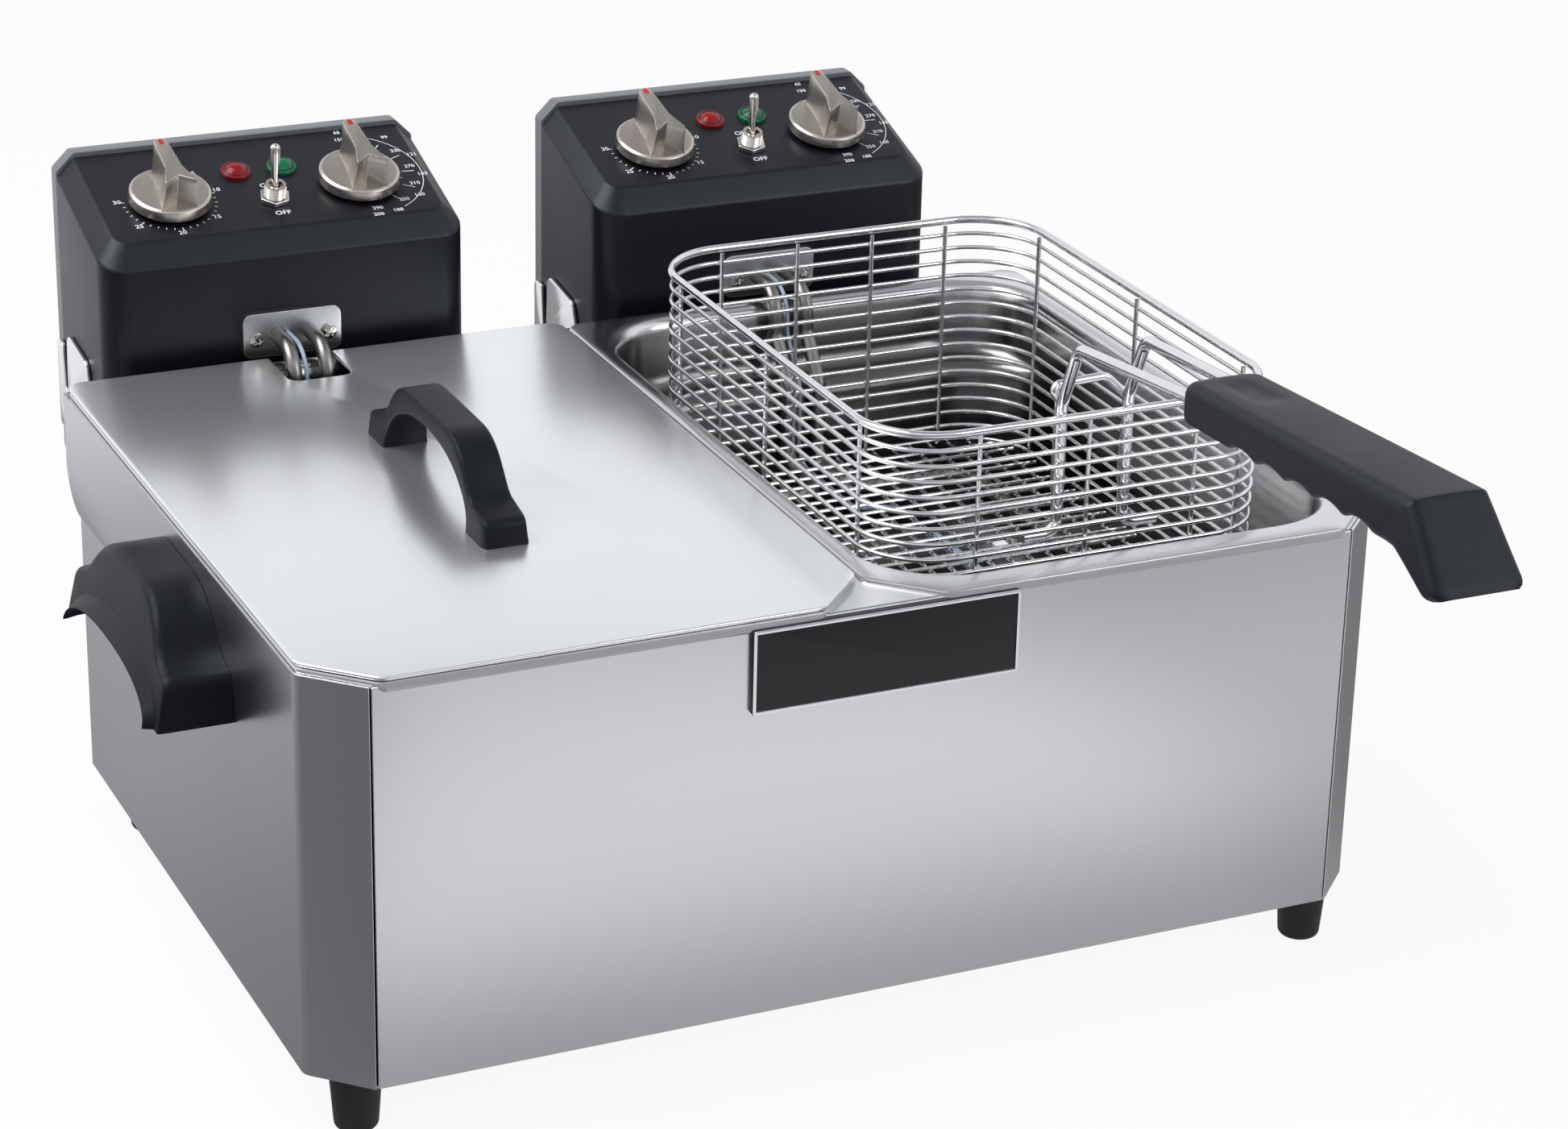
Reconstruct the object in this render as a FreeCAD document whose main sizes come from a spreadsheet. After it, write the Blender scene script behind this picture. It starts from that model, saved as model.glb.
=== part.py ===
import FreeCAD, Part
import math
import os
import re

import Sketcher

# A twin-tank countertop deep fryer: folded casing, two pressed tanks, two clip-on control heads,
# one lift-off lid and one wire basket. Millimetres, +Z up, standing on its feet at Z = 0.

# Driving dimensions: alias, value and what it measures.
SIZES = [
    ("body_width", 550, "casing, side to side"),
    ("body_depth", 380, "casing, front to back"),
    ("body_height", 200, "casing walls"),
    ("corner_cut", 26, "cut across each front corner"),
    ("sheet_gauge", 1.5, "casing sheet"),
    ("seam_gap", 0.4, "gap at a sheet seam"),
    ("ear_reach", 24, "side panel ear, behind the casing"),
    ("ear_height", 60, "side panel ear, down from the top"),
    ("ear_radius", 20, "side panel ear, lower corner"),
    ("foot_height", 30, "rubber foot"),
    ("foot_width", 25, "rubber foot at its top"),
    ("foot_taper", 2, "rubber foot, narrowing per side"),
    ("foot_inset", 24, "foot centre from the casing walls"),
    ("badge_width", 136, "blank badge"),
    ("badge_height", 42, "blank badge"),
    ("badge_thick", 4, "blank badge"),
    ("badge_drop", 1, "blank badge, below the casing top"),
    ("badge_edge", 1.5, "blank badge, edge chamfer"),
    ("tank_gap", 3, "between the two flanges"),
    ("flange_lead", 1, "flange, ahead of the casing front"),
    ("flange_cut", 30, "flange and lid, cut front corners"),
    ("flange_gauge", 2, "tank flange"),
    ("flange_side", 13, "flange, beside the mouth"),
    ("mouth_rear", 10, "tank mouth, ahead of the ears' rear"),
    ("rear_room", 8, "deep part of a tank, ahead of the casing's back"),
    ("shelf_depth", 40, "shelf at a tank's rear, below its flange"),
    ("shelf_round", 10, "shelf edge"),
    ("mouth_front", 20, "tank mouth, behind the casing front"),
    ("mouth_radius", 45, "tank corner"),
    ("tank_wall", 1.2, "tank wall"),
    ("tank_depth", 150, "tank, below its flange"),
    ("tank_floor_radius", 25, "tank floor edge"),
    ("tank_clearance", 1, "round the tank in the top frame"),
    ("lid_gauge", 2, "lid sheet"),
    ("lid_clearance", 0.3, "under the lid"),
    ("notch_width", 34, "lid notch for the element tubes"),
    ("notch_depth", 38, "lid notch for the element tubes"),
    ("handle_length", 168, "lid handle"),
    ("handle_width", 24, "lid handle"),
    ("handle_rise", 40.5, "lid handle"),
    ("handle_band", 9, "lid handle, thickness of its arch"),
    ("handle_round", 32, "lid handle, upper corners"),
    ("handle_foot", 26, "lid handle, length of each foot"),
    ("side_handle_length", 164, "side handle"),
    ("side_handle_foot", 13, "side handle, length of each foot"),
    ("side_handle_reach", 29, "side handle, out from the casing"),
    ("side_handle_rise", 53.5, "side handle"),
    ("side_handle_band", 35, "side handle, thickness of its arch"),
    ("side_handle_drop", 9.5, "side handle top, below the casing top"),
    ("side_handle_back", 10, "side handle centre, behind the casing's middle"),
    ("side_handle_lip", 12, "side handle, finger lip beyond its face"),
    ("lip_thick", 5, "finger lip"),
    ("basket_side", 16, "basket rings, inside the mouth's sides"),
    ("basket_shift", 3.5, "basket rings, left of their tank's middle"),
    ("basket_rear", 31.5, "basket rings, ahead of the casing's back"),
    ("basket_height", 127, "basket, floor ring to rim"),
    ("basket_front", 55.5, "basket, behind the casing front"),
    ("basket_stand", 53, "basket rim, above the flange"),
    ("basket_radius", 38, "basket corner"),
    ("rim_wire", 4.2, "basket rim wire"),
    ("ring_wire", 2.3, "basket wall and floor wires"),
    ("ring_count", 16, "wall rings below the rim"),
    ("post_count", 4, "upright wires on the rear wall"),
    ("front_post_count", 3, "upright wires on the front wall"),
    ("side_post_count", 3, "upright wires on each side wall"),
    ("floor_pitch", 11.5, "between floor wires"),
    ("weld_gap", 0.05, "between crossing wires"),
    ("rod_wire", 6, "basket handle rods"),
    ("rod_pitch", 36, "between the handle rods"),
    ("rod_rise", 47, "handle rods, above the rim"),
    ("rod_bend", 12, "handle rod bend"),
    ("rod_lean", 14, "handle rods, forward lean above the rim"),
    ("rod_dip", 9, "handle rods, bend below their ends in the grip"),
    ("rod_reach", 60, "handle rods, feet below the rim"),
    ("rod_foot", 18, "handle rods, outward turn of their feet"),
    ("grip_start", 62, "basket grip root, ahead of the casing"),
    ("grip_length", 206, "basket grip"),
    ("grip_width", 42, "basket grip"),
    ("grip_thick", 20, "basket grip"),
    ("grip_tilt", 11, "basket grip, rise of its top to the bend"),
    ("grip_tip", 30, "basket grip, length of the bent end"),
    ("grip_tip_drop", 34, "basket grip, drop of the bent end"),
    ("grip_round", 5, "basket grip, long edges"),
    ("rod_hold", 30, "rod held in the grip"),
    ("head_shift", 10, "heads, left of their tanks"),
    ("head_room", 76, "between the two heads"),
    ("head_gap", 13, "head, behind the flange"),
    ("head_depth", 100, "control head"),
    ("head_drop", 75, "head's lower edge, below the casing top"),
    ("head_front_height", 140, "head's upright front, up to the panel's plane"),
    ("panel_length", 92, "sloped panel, up the slope"),
    ("panel_slope", 17, "sloped panel, degrees from level"),
    ("head_top_drop", 0.5, "head top, fall towards the back"),
    ("head_corner", 9, "head, cut upper corners"),
    ("head_bevel", 10, "head, cut edge between its front and its panel"),
    ("head_wall", 2.5, "head shell"),
    ("cover_depth", 12, "rear cover"),
    ("cover_gap", 0.2, "rear cover seam"),
    ("knob_spread", 52, "knobs, each side of the head's middle"),
    ("knob_up", 42, "knob centres, up the slope"),
    ("knob_size", 44, "knob skirt"),
    ("knob_skirt", 8, "knob skirt"),
    ("knob_wing", 14, "knob wing, thickness"),
    ("knob_rise", 24, "knob, whole height"),
    ("knob_lift", 1, "knob, off the panel"),
    ("shaft_size", 6, "control shaft"),
    ("shaft_fit", 0.05, "running clearance on a shaft"),
    ("shaft_length", 15, "control shaft, out of the panel"),
    ("shaft_room", 3, "panel hole, wider than a shaft"),
    ("control_size", 38, "timer and thermostat cases"),
    ("control_depth", 34, "timer and thermostat cases"),
    ("lamp_up", 63, "lamps, up the slope"),
    ("lamp_middle", 3, "lamps and switch, right of the head's middle"),
    ("lamp_spread", 12.7, "lamps, each side of their middle"),
    ("lamp_lens", 16, "lamp lens"),
    ("lamp_dome", 4, "lamp lens, height"),
    ("lamp_barrel", 11.8, "lamp barrel"),
    ("lamp_length", 22, "lamp barrel"),
    ("panel_clearance", 0.2, "panel hole, wider than a lamp or switch"),
    ("switch_up", 34.5, "switch, up the slope"),
    ("switch_bush", 11.8, "switch bush"),
    ("switch_bush_height", 10, "switch bush, above the panel"),
    ("switch_bore", 8.6, "switch bush bore"),
    ("switch_nut", 15, "switch nut, across flats"),
    ("switch_nut_thick", 3, "switch nut"),
    ("switch_case", 13, "switch case"),
    ("switch_case_depth", 20, "switch case"),
    ("lever_pivot", 5, "lever pivot, above the panel"),
    ("lever_length", 24, "lever, from its pivot"),
    ("lever_root", 3, "lever at its root"),
    ("lever_tip", 5.6, "lever at its tip"),
    ("lever_lean", 12, "lever at rest, degrees up the slope"),
    ("lever_hub", 5, "lever hub"),
    ("lever_pin", 1.6, "lever pivot pin"),
    ("plate_width", 54, "element plate"),
    ("plate_height", 24, "element plate"),
    ("plate_thick", 2, "element plate"),
    ("plate_round", 5, "element plate corners"),
    ("tube_rise", 11, "element tubes, above the flange"),
    ("tube_size", 8, "element tube"),
    ("tube_spread", 9, "element tubes, each side of the middle"),
    ("tube_clearance", 0.1, "round a tube in its plate"),
    ("tube_bend", 14, "element tube bend"),
    ("jog_start", 24.5, "tube jog, below the plate"),
    ("jog_drop", 25, "tube jog, height"),
    ("jog_reach", 18.5, "tube jog, forwards"),
    ("tube_back", 20, "tube drop, ahead of the flange's rear edge"),
    ("tube_inside", 30, "tube ends, inside the head"),
    ("loop_half", 78, "heating loop, half its width"),
    ("loop_front", 60, "heating loop, behind the tank mouth's front"),
    ("loop_rear", 42, "heating loop, ahead of the tube jog"),
    ("basket_rest", 1, "basket floor, above the heating loop"),
    ("bulb_size", 6, "thermostat bulb"),
    ("bulb_length", 90, "thermostat bulb"),
    ("bulb_side", 34, "thermostat bulb, right of the middle"),
    ("capillary", 2.4, "thermostat capillary tube"),
    ("screw_head", 8, "screw head"),
    ("screw_head_thick", 2, "screw head"),
    ("screw_shank", 4, "screw shank"),
    ("screw_length", 10, "screw shank"),
    ("plate_screws", 20, "plate screws, each side of the middle"),
    ("reset_size", 8, "reset button"),
    ("reset_proud", 5, "reset button, ahead of the head"),
    ("reset_length", 16, "reset button"),
    ("reset_side", 55, "reset button, left of the middle"),
    ("reset_drop", 12, "reset button, below the flange"),
    ("bracket_gauge", 2, "head bracket"),
    ("bracket_gap", 0.3, "between a head and its bracket"),
    ("bracket_height", 58, "head bracket"),
    ("bracket_length", 108, "head bracket, behind the casing"),
    ("bracket_drop", 28, "head bracket, front edge below its top"),
    ("fin_front", 37, "bracket fin ahead of the slot"),
    ("fin_slot", 9, "slot between the fins"),
    ("fin_rear", 11, "bracket fin behind the slot"),
    ("pin_inset", 20, "head pin, ahead of the head's rear"),
    ("pin_rise", 12, "head pin, above the bracket's lower edge"),
    ("pin_size", 6, "head pin"),
    ("pin_proud", 5, "head pin, outside its bracket"),
    ("gland_size", 20, "cable gland"),
    ("gland_length", 16, "cable gland"),
    ("gland_bore", 8, "cable gland bore"),
]
# Sizes that follow from the driving ones.
FOLLOWING = [
    ("tank_pitch", "body_width / 2", "between the tank centres"),
    ("flange_length", "body_depth + ear_reach + 2 * flange_lead", "flange, front to back"),
    ("mouth_width", "tank_pitch - tank_gap - 2 * flange_side", "tank mouth"),
    ("mouth_length", "body_depth + ear_reach - mouth_front - mouth_rear", "tank mouth"),
    ("side_handle_middle", "body_depth / 2 + side_handle_back", "side handle centre, behind the front"),
    ("basket_width", "mouth_width - 2 * basket_side", "basket at the middle of its rings"),
    ("basket_length", "body_depth - basket_front - basket_rear", "basket at the middle of its rings"),
    ("head_width", "tank_pitch - head_room", "control head"),
    ("head_foot", "body_height - head_drop", "head's lower edge, above the casing's"),
    ("shaft_hole", "shaft_size + shaft_room", "panel hole round a shaft"),
    ("lamp_hole", "lamp_barrel + panel_clearance", "panel hole round a lamp"),
    ("switch_hole", "switch_bush + panel_clearance", "panel hole round the switch"),
]
ALIASES = {alias for alias, value, meaning in SIZES + FOLLOWING}

doc = FreeCAD.newDocument("deep_fryer")
sheet = doc.addObject("Spreadsheet::Sheet", "sizes")
for row, (alias, value, meaning) in enumerate(SIZES, start=1):
    sheet.set(f"A{row}", meaning)
    sheet.set(f"B{row}", str(value))
    sheet.setAlias(f"B{row}", alias)
doc.recompute()
for row, (alias, formula, meaning) in enumerate(FOLLOWING, start=len(SIZES) + 1):
    sheet.set(f"A{row}", meaning)
    sheet.set(f"B{row}", f"={formula}")
    sheet.setAlias(f"B{row}", alias)
    doc.recompute()

# Finished pieces by name; each becomes one file.
pieces = {}


def size(alias):
    """A driving dimension as a number, for shapes made directly."""
    return float(sheet.get(alias))


def bind(text):
    """Turns words of a formula that are driving dimensions into sheet references."""
    return re.sub(r"[a-z][a-z_]*[a-z]", lambda m: f"sizes.{m[0]}" if m[0] in ALIASES else m[0], text)


# Places measured from the casing: x from its middle, y back from its front, z up from its lower edge.
REAR_REACH = "(flange_length - flange_lead + head_gap + head_depth)"
FRONT_REACH = "(grip_start + grip_length)"
FRONT_Y = f"(({FRONT_REACH} - {REAR_REACH}) / 2)"
FLANGE_TOP = "(body_height + flange_gauge)"
HEAD_Y = "(flange_length - flange_lead + head_gap)"
PANEL_Z = "(head_foot + head_front_height)"
TUBE_Z = f"({FLANGE_TOP} + tube_rise)"
RIM_Z = f"({FLANGE_TOP} + basket_stand)"
SIDES = {"left": -1, "right": 1}


def tank_x(side):
    """The middle of a tank."""
    return f"({SIDES[side]} * tank_pitch / 2)"


def head_x(side):
    """The middle of a control head."""
    return f"({SIDES[side]} * tank_pitch / 2 - head_shift)"


def at(obj, x="0", y="0", z="0"):
    """Binds a tool shape's place in the casing's own frame."""
    for axis, text in zip("xyz", (x, y, z)):
        obj.setExpression(f"Placement.Base.{axis}", bind(str(text)))
    return obj


def finish(obj, label, x="0", y="0", z="0"):
    """Names a finished piece and places it over the middle of the whole object's footprint."""
    obj.Label = label
    at(obj, x, f"{FRONT_Y} + {y}", f"foot_height + {z}")
    pieces[label] = obj
    return obj


def box(long, wide, high, x="0", y="0", z="0"):
    """A block with its low corner at x, y, z."""
    obj = doc.addObject("Part::Box", "block")
    for prop, text in zip(("Length", "Width", "Height"), (long, wide, high)):
        obj.setExpression(prop, bind(str(text)))
    return at(obj, x, y, z)


def rod(radius, high, x="0", y="0", z="0", turn=None):
    """A cylinder from x, y, z along Z, or turned from Z by (axis, degrees)."""
    obj = doc.addObject("Part::Cylinder", "rod")
    obj.setExpression("Radius", bind(radius))
    obj.setExpression("Height", bind(high))
    if turn:
        rotation = FreeCAD.Rotation(FreeCAD.Vector(*turn[0]), turn[1])
        obj.Placement = FreeCAD.Placement(FreeCAD.Vector(), rotation)
    return at(obj, x, y, z)


ALONG_Y = ((1, 0, 0), -90)
ALONG_X = ((0, 1, 0), 90)
DOWN = ((1, 0, 0), 180)


def cut(base, tools):
    """A base shape less its tools."""
    obj = doc.addObject("Part::Cut", "cut")
    obj.Base = base
    obj.Tool = tools[0] if len(tools) == 1 else fuse(tools)
    return obj


def fuse(shapes):
    """Several shapes made one."""
    obj = doc.addObject("Part::MultiFuse", "fused")
    obj.Shapes = shapes
    return obj


def common(first, second):
    """What two shapes share."""
    obj = doc.addObject("Part::Common", "shared")
    obj.Base = first
    obj.Tool = second
    return obj


def group(shapes):
    """Separate solids kept together as one piece."""
    obj = doc.addObject("Part::Compound", "group")
    obj.Links = shapes
    return obj


def round_edges(base, alias, chosen):
    """Rounds the edges whose unit direction and middle point satisfy chosen."""
    doc.recompute()
    obj = doc.addObject("Part::Fillet", "rounded")
    obj.Base = base
    radius = size(alias)
    numbers = []
    for number, edge in enumerate(base.Shape.Edges, start=1):
        run = edge.Vertexes[-1].Point - edge.Vertexes[0].Point
        if run.Length > 0 and chosen(run.normalize(), edge.CenterOfMass):
            numbers.append((number, radius, radius))
    obj.Edges = numbers
    return obj


def upright(run, middle):
    """Edges along Z."""
    return abs(run.z) > 0.99


def outline(body, plane, points, away="0"):
    """A closed outline on an origin plane through points bound to the sheet, away from it by a formula."""
    sketch = body.newObject("Sketcher::SketchObject", "outline")
    origin = [f for f in body.Origin.OriginFeatures if f.Role == plane][0]
    sketch.AttachmentSupport = [(origin, "")]
    sketch.MapMode = "FlatFace"
    sketch.setExpression("AttachmentOffset.Base.z", bind(away))
    count = len(points)
    corners = [
        FreeCAD.Vector(math.cos(2 * math.pi * k / count), math.sin(2 * math.pi * k / count), 0)
        for k in range(count)
    ]
    for k in range(count):
        sketch.addGeometry(Part.LineSegment(corners[k], corners[(k + 1) % count]), False)
    for k in range(count):
        sketch.addConstraint(Sketcher.Constraint("Coincident", k, 2, (k + 1) % count, 1))
    for k, point in enumerate(points):
        for kind, start, text in zip(("DistanceX", "DistanceY"), corners[k], point):
            number = sketch.addConstraint(Sketcher.Constraint(kind, -1, 1, k, 1, start))
            sketch.setExpression(f"Constraints[{number}]", bind(str(text)))
    return sketch


def padded(plane, points, length, away="0", both_ways=False):
    """A body padded from an outline."""
    body = doc.addObject("PartDesign::Body", "body")
    pad = body.newObject("PartDesign::Pad", "pad")
    pad.Profile = outline(body, plane, points, away)
    pad.setExpression("Length", bind(length))
    pad.Midplane = both_ways
    return body


def shape_piece(shape, label, x="0", y="0"):
    """A piece whose shape is worked out directly, about a place x, y in the casing's frame."""
    obj = doc.addObject("Part::Feature", "formed")
    obj.Shape = shape
    return finish(obj, label, x, y)


# Casing: a front sheet between two side panels that wrap the cut corners, a back, a base and a top frame.
MITRE = "sheet_gauge * tan(22.5 deg)"
EAR_Y = "(body_depth + ear_reach)"
SHELF_Z = "(body_height - ear_height)"
INSET = "(sheet_gauge + seam_gap)"


def side_panel(side):
    """One side, bent round the cut front corner, with an ear at its upper rear that carries the flange."""
    sign = SIDES[side]
    wall = [
        ("body_width / 2", "body_depth"),
        ("body_width / 2", "corner_cut"),
        ("body_width / 2 - corner_cut", "0"),
        (f"body_width / 2 - corner_cut - {MITRE}", "sheet_gauge"),
        ("body_width / 2 - sheet_gauge", f"corner_cut + {MITRE}"),
        ("body_width / 2 - sheet_gauge", "body_depth"),
    ]
    body = padded("XY_Plane", [(f"{sign} * ({x})", y) for x, y in wall], "body_height")
    ear = [
        ("body_depth - sheet_gauge", SHELF_Z),
        (f"{EAR_Y} - ear_radius", SHELF_Z),
        (EAR_Y, f"{SHELF_Z} + ear_radius"),
        (EAR_Y, "body_height"),
        ("body_depth - sheet_gauge", "body_height"),
    ]
    face = "body_width / 2 - sheet_gauge" if sign > 0 else "-body_width / 2"
    pad = body.newObject("PartDesign::Pad", "ear")
    pad.Profile = outline(body, "YZ_Plane", ear, face)
    pad.setExpression("Length", bind("sheet_gauge"))
    return finish(body, f"{side}_side_panel")


def floor_outline(back):
    """The space inside the casing walls, seen from above, as far as back."""
    half = f"(body_width / 2 - {INSET})"
    cut_y = f"(corner_cut + {INSET} * tan(22.5 deg))"
    cut_x = f"(body_width / 2 - corner_cut - {INSET} * tan(22.5 deg))"
    return [
        (f"-{half}", back), (f"-{half}", cut_y), (f"-{cut_x}", INSET),
        (cut_x, INSET), (half, cut_y), (half, back),
    ]


side_panel("left")
side_panel("right")
front_width = f"(body_width - 2 * corner_cut - 2 * {MITRE} - 2 * seam_gap)"
finish(box(front_width, "sheet_gauge", "body_height"), "front_panel", x=f"-{front_width} / 2")
rear_width = f"(body_width - 2 * {INSET})"
rear_points = [
    ("body_depth", "0"), ("body_depth", SHELF_Z), (f"{EAR_Y} - ear_radius", SHELF_Z),
    (EAR_Y, f"{SHELF_Z} + ear_radius"), (EAR_Y, "body_height"), (f"{EAR_Y} - sheet_gauge", "body_height"),
    (f"{EAR_Y} - sheet_gauge", f"{SHELF_Z} + ear_radius + {MITRE}"),
    (f"{EAR_Y} - ear_radius - {MITRE}", f"{SHELF_Z} + sheet_gauge"),
    ("body_depth - sheet_gauge", f"{SHELF_Z} + sheet_gauge"), ("body_depth - sheet_gauge", "0"),
]
finish(padded("YZ_Plane", rear_points, rear_width, both_ways=True), "rear_panel")
finish(padded("XY_Plane", floor_outline(f"(body_depth - {INSET})"), "sheet_gauge"), "base_plate")
basin_width = "(mouth_width + 2 * tank_wall + 2 * tank_clearance)"
basin_length = "(mouth_length + 2 * tank_wall + 2 * tank_clearance)"
basin_front = "mouth_front - tank_wall - tank_clearance"
frame_holes = [
    box(basin_width, basin_length, "3 * sheet_gauge", f"{tank_x(side)} - {basin_width} / 2", basin_front,
        "body_height - 2 * sheet_gauge")
    for side in SIDES
]
frame_back = f"({EAR_Y} - {INSET})"
frame_sheet = padded("XY_Plane", floor_outline(frame_back), "sheet_gauge", "body_height - sheet_gauge")
finish(cut(frame_sheet, frame_holes), "top_frame")


# Four rubber feet under the corners.
def foot(sign, y):
    """A tapered rubber foot under one corner."""
    obj = doc.addObject("Part::Cone", "foot")
    obj.setExpression("Radius1", bind("foot_width / 2 - foot_taper"))
    obj.setExpression("Radius2", bind("foot_width / 2"))
    obj.setExpression("Height", bind("foot_height"))
    return at(obj, f"{sign} * (body_width / 2 - foot_inset)", y, "-foot_height")


feet = [foot(sign, y) for sign in SIDES.values() for y in ("foot_inset", "body_depth - foot_inset")]
finish(group(feet), "rubber_feet")

# Blank badge on the front.
badge_points = [
    ("-badge_width / 2", "body_height - badge_drop - badge_height"),
    ("badge_width / 2", "body_height - badge_drop - badge_height"),
    ("badge_width / 2", "body_height - badge_drop"),
    ("-badge_width / 2", "body_height - badge_drop"),
]
badge = padded("XZ_Plane", badge_points, "badge_thick")
doc.recompute()
badge_pad = badge.Tip
badge_front = [
    f"Edge{n}" for n, e in enumerate(badge_pad.Shape.Edges, start=1)
    if abs(e.CenterOfMass.y + size("badge_thick")) < 1e-6
]
badge_edges = badge.newObject("PartDesign::Chamfer", "edges")
badge_edges.Base = (badge_pad, badge_front)
badge_edges.setExpression("Size", bind("badge_edge"))
finish(badge, "front_badge")


# Moulded arch handles: the same bridge shape lies along the lid and stands on each side.
def arch(length, wide, high, band, x, y, z, corner, foot):
    """A bridge along Y with both upper corners rounded, and its hollow rounded alike."""
    outer = box(wide, length, high, x, y, z)
    doc.recompute()
    top = outer.Shape.BoundBox.ZMax
    outer = round_edges(outer, corner, lambda run, mid: abs(run.x) > 0.99 and abs(mid.z - top) < 1e-6)
    hollow = box(f"{wide} + 2", f"{length} - 2 * {foot}", f"{high} - {band} + 1", f"{x} - 1",
                 f"{y} + {foot}", f"{z} - 1")
    doc.recompute()
    roof = hollow.Shape.BoundBox.ZMax
    hollow = round_edges(hollow, foot,
                         lambda run, mid: abs(run.x) > 0.99 and abs(mid.z - roof) < 1e-6)
    return cut(outer, [hollow])


def side_handle(side):
    """A side handle with a finger lip round its hollow that stands proud of its outer face."""
    sign = SIDES[side]
    low = "(body_height - side_handle_drop - side_handle_rise)"
    start = "(side_handle_middle - side_handle_length / 2)"
    face = "body_width / 2" if sign > 0 else "(-body_width / 2 - side_handle_reach)"
    bridge = arch("side_handle_length", "side_handle_reach", "side_handle_rise", "side_handle_band",
                  face, start, low, "side_handle_band", "side_handle_foot")
    lip_wide = "(side_handle_reach + side_handle_lip)"
    lip_face = "body_width / 2" if sign > 0 else f"(-body_width / 2 - {lip_wide})"
    lip_length = "(side_handle_length - 2 * side_handle_foot + 2 * lip_thick)"
    lip_high = "(side_handle_rise - side_handle_band + lip_thick)"
    outer = box(lip_wide, lip_length, lip_high, lip_face, f"{start} + side_handle_foot - lip_thick", low)
    doc.recompute()
    top = outer.Shape.BoundBox.ZMax
    outer = round_edges(outer, "side_handle_foot",
                        lambda run, mid: abs(run.x) > 0.99 and abs(mid.z - top) < 1e-6)
    hollow = box(f"{lip_wide} + 2", "side_handle_length - 2 * side_handle_foot",
                 "side_handle_rise - side_handle_band + 1", f"{lip_face} - 1",
                 f"{start} + side_handle_foot", f"{low} - 1")
    doc.recompute()
    roof = hollow.Shape.BoundBox.ZMax
    hollow = round_edges(hollow, "side_handle_foot",
                         lambda run, mid: abs(run.x) > 0.99 and abs(mid.z - roof) < 1e-6)
    return finish(fuse([bridge, cut(outer, [hollow])]), f"{side}_carry_handle")


side_handle("left")
side_handle("right")


# Pressed tanks: a rounded basin hanging from a flange with cut front corners.
def flange_outline(side, back="flange_length - flange_lead"):
    """The flange and lid outline, seen from above."""
    half = "(tank_pitch / 2 - tank_gap / 2)"
    middle = tank_x(side)
    front = "-flange_lead"
    return [
        (f"{middle} - {half}", back),
        (f"{middle} - {half}", f"{front} + flange_cut"),
        (f"{middle} - {half} + flange_cut", front),
        (f"{middle} + {half} - flange_cut", front),
        (f"{middle} + {half}", f"{front} + flange_cut"),
        (f"{middle} + {half}", back),
    ]


def basin(side, grow, length, depth, floor_round, high):
    """One rounded block of a tank's inside up to high, grown by its wall for the outside."""
    low = f"({FLANGE_TOP} - {depth} - {grow})"
    block = box(f"mouth_width + 2 * {grow}", f"{length} + 2 * {grow}", f"{high} - {low}",
                f"{tank_x(side)} - mouth_width / 2 - {grow}", f"mouth_front - {grow}", low)
    walls = round_edges(block, "mouth_radius", upright)
    doc.recompute()
    bottom = walls.Shape.BoundBox.ZMin
    return round_edges(walls, floor_round, lambda run, mid: abs(mid.z - bottom) < 1e-6)


def hollow_form(side, grow, high):
    """A tank's inside: a deep part, and a shallow shelf that reaches further back under the flange."""
    deep_length = "(body_depth - rear_room - mouth_front)"
    deep = basin(side, grow, deep_length, "tank_depth", "tank_floor_radius", high)
    shelf = basin(side, grow, "mouth_length", "shelf_depth", "shelf_round", high)
    return fuse([deep, shelf])


def tank(side):
    """One tank with its flange resting on the casing."""
    flange = padded("XY_Plane", flange_outline(side), "flange_gauge", "body_height")
    outside = hollow_form(side, "tank_wall", FLANGE_TOP)
    inside = hollow_form(side, "0", f"({FLANGE_TOP} + 1)")
    return finish(cut(fuse([flange, outside]), [inside]), f"{side}_tank")


tank("left")
tank("right")

# Lid on the left tank, with a notch at its rear for the element tubes, and its handle and screws.
LID_Z = f"({FLANGE_TOP} + lid_clearance)"
lid_outline = flange_outline("left")
notch_left = f"{head_x('left')} - notch_width / 2"
notch_right = f"{head_x('left')} + notch_width / 2"
lid_back = "flange_length - flange_lead"
lid_notch = [
    (notch_right, lid_back), (notch_right, f"{lid_back} - notch_depth"),
    (notch_left, f"{lid_back} - notch_depth"), (notch_left, lid_back),
]
lid_sheet = padded("XY_Plane", lid_outline + lid_notch, "lid_gauge", LID_Z)
HANDLE_Y = "(flange_length / 2 - flange_lead - handle_length / 2)"
lid_screw_places = [f"{HANDLE_Y} + handle_foot / 2", f"{HANDLE_Y} + handle_length - handle_foot / 2"]
lid_holes = [
    rod("screw_shank / 2 + tube_clearance", "3 * lid_gauge", tank_x("left"), y, f"{LID_Z} - lid_gauge")
    for y in lid_screw_places
]
finish(cut(lid_sheet, lid_holes), "lid")
lid_top = f"({LID_Z} + lid_gauge)"
bridge = arch("handle_length", "handle_width", "handle_rise", "handle_band",
              f"{tank_x('left')} - handle_width / 2", HANDLE_Y, lid_top, "handle_round", "handle_foot")
handle_bores = [
    rod("screw_shank / 2 + tube_clearance", "screw_length", tank_x("left"), y, f"{lid_top} - 1")
    for y in lid_screw_places
]
finish(cut(bridge, handle_bores), "lid_handle")


def screw(x, y, z, turn, reach="screw_length"):
    """A pan-head screw whose head's underside is at x, y, z and whose shank runs along the turned Z."""
    shank = rod("screw_shank / 2", reach, x, y, z, turn)
    back = {None: (x, y, f"{z} - screw_head_thick"), ALONG_Y: (x, f"{y} - screw_head_thick", z)}[turn]
    return fuse([shank, rod("screw_head / 2", "screw_head_thick", *back, turn)])


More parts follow.
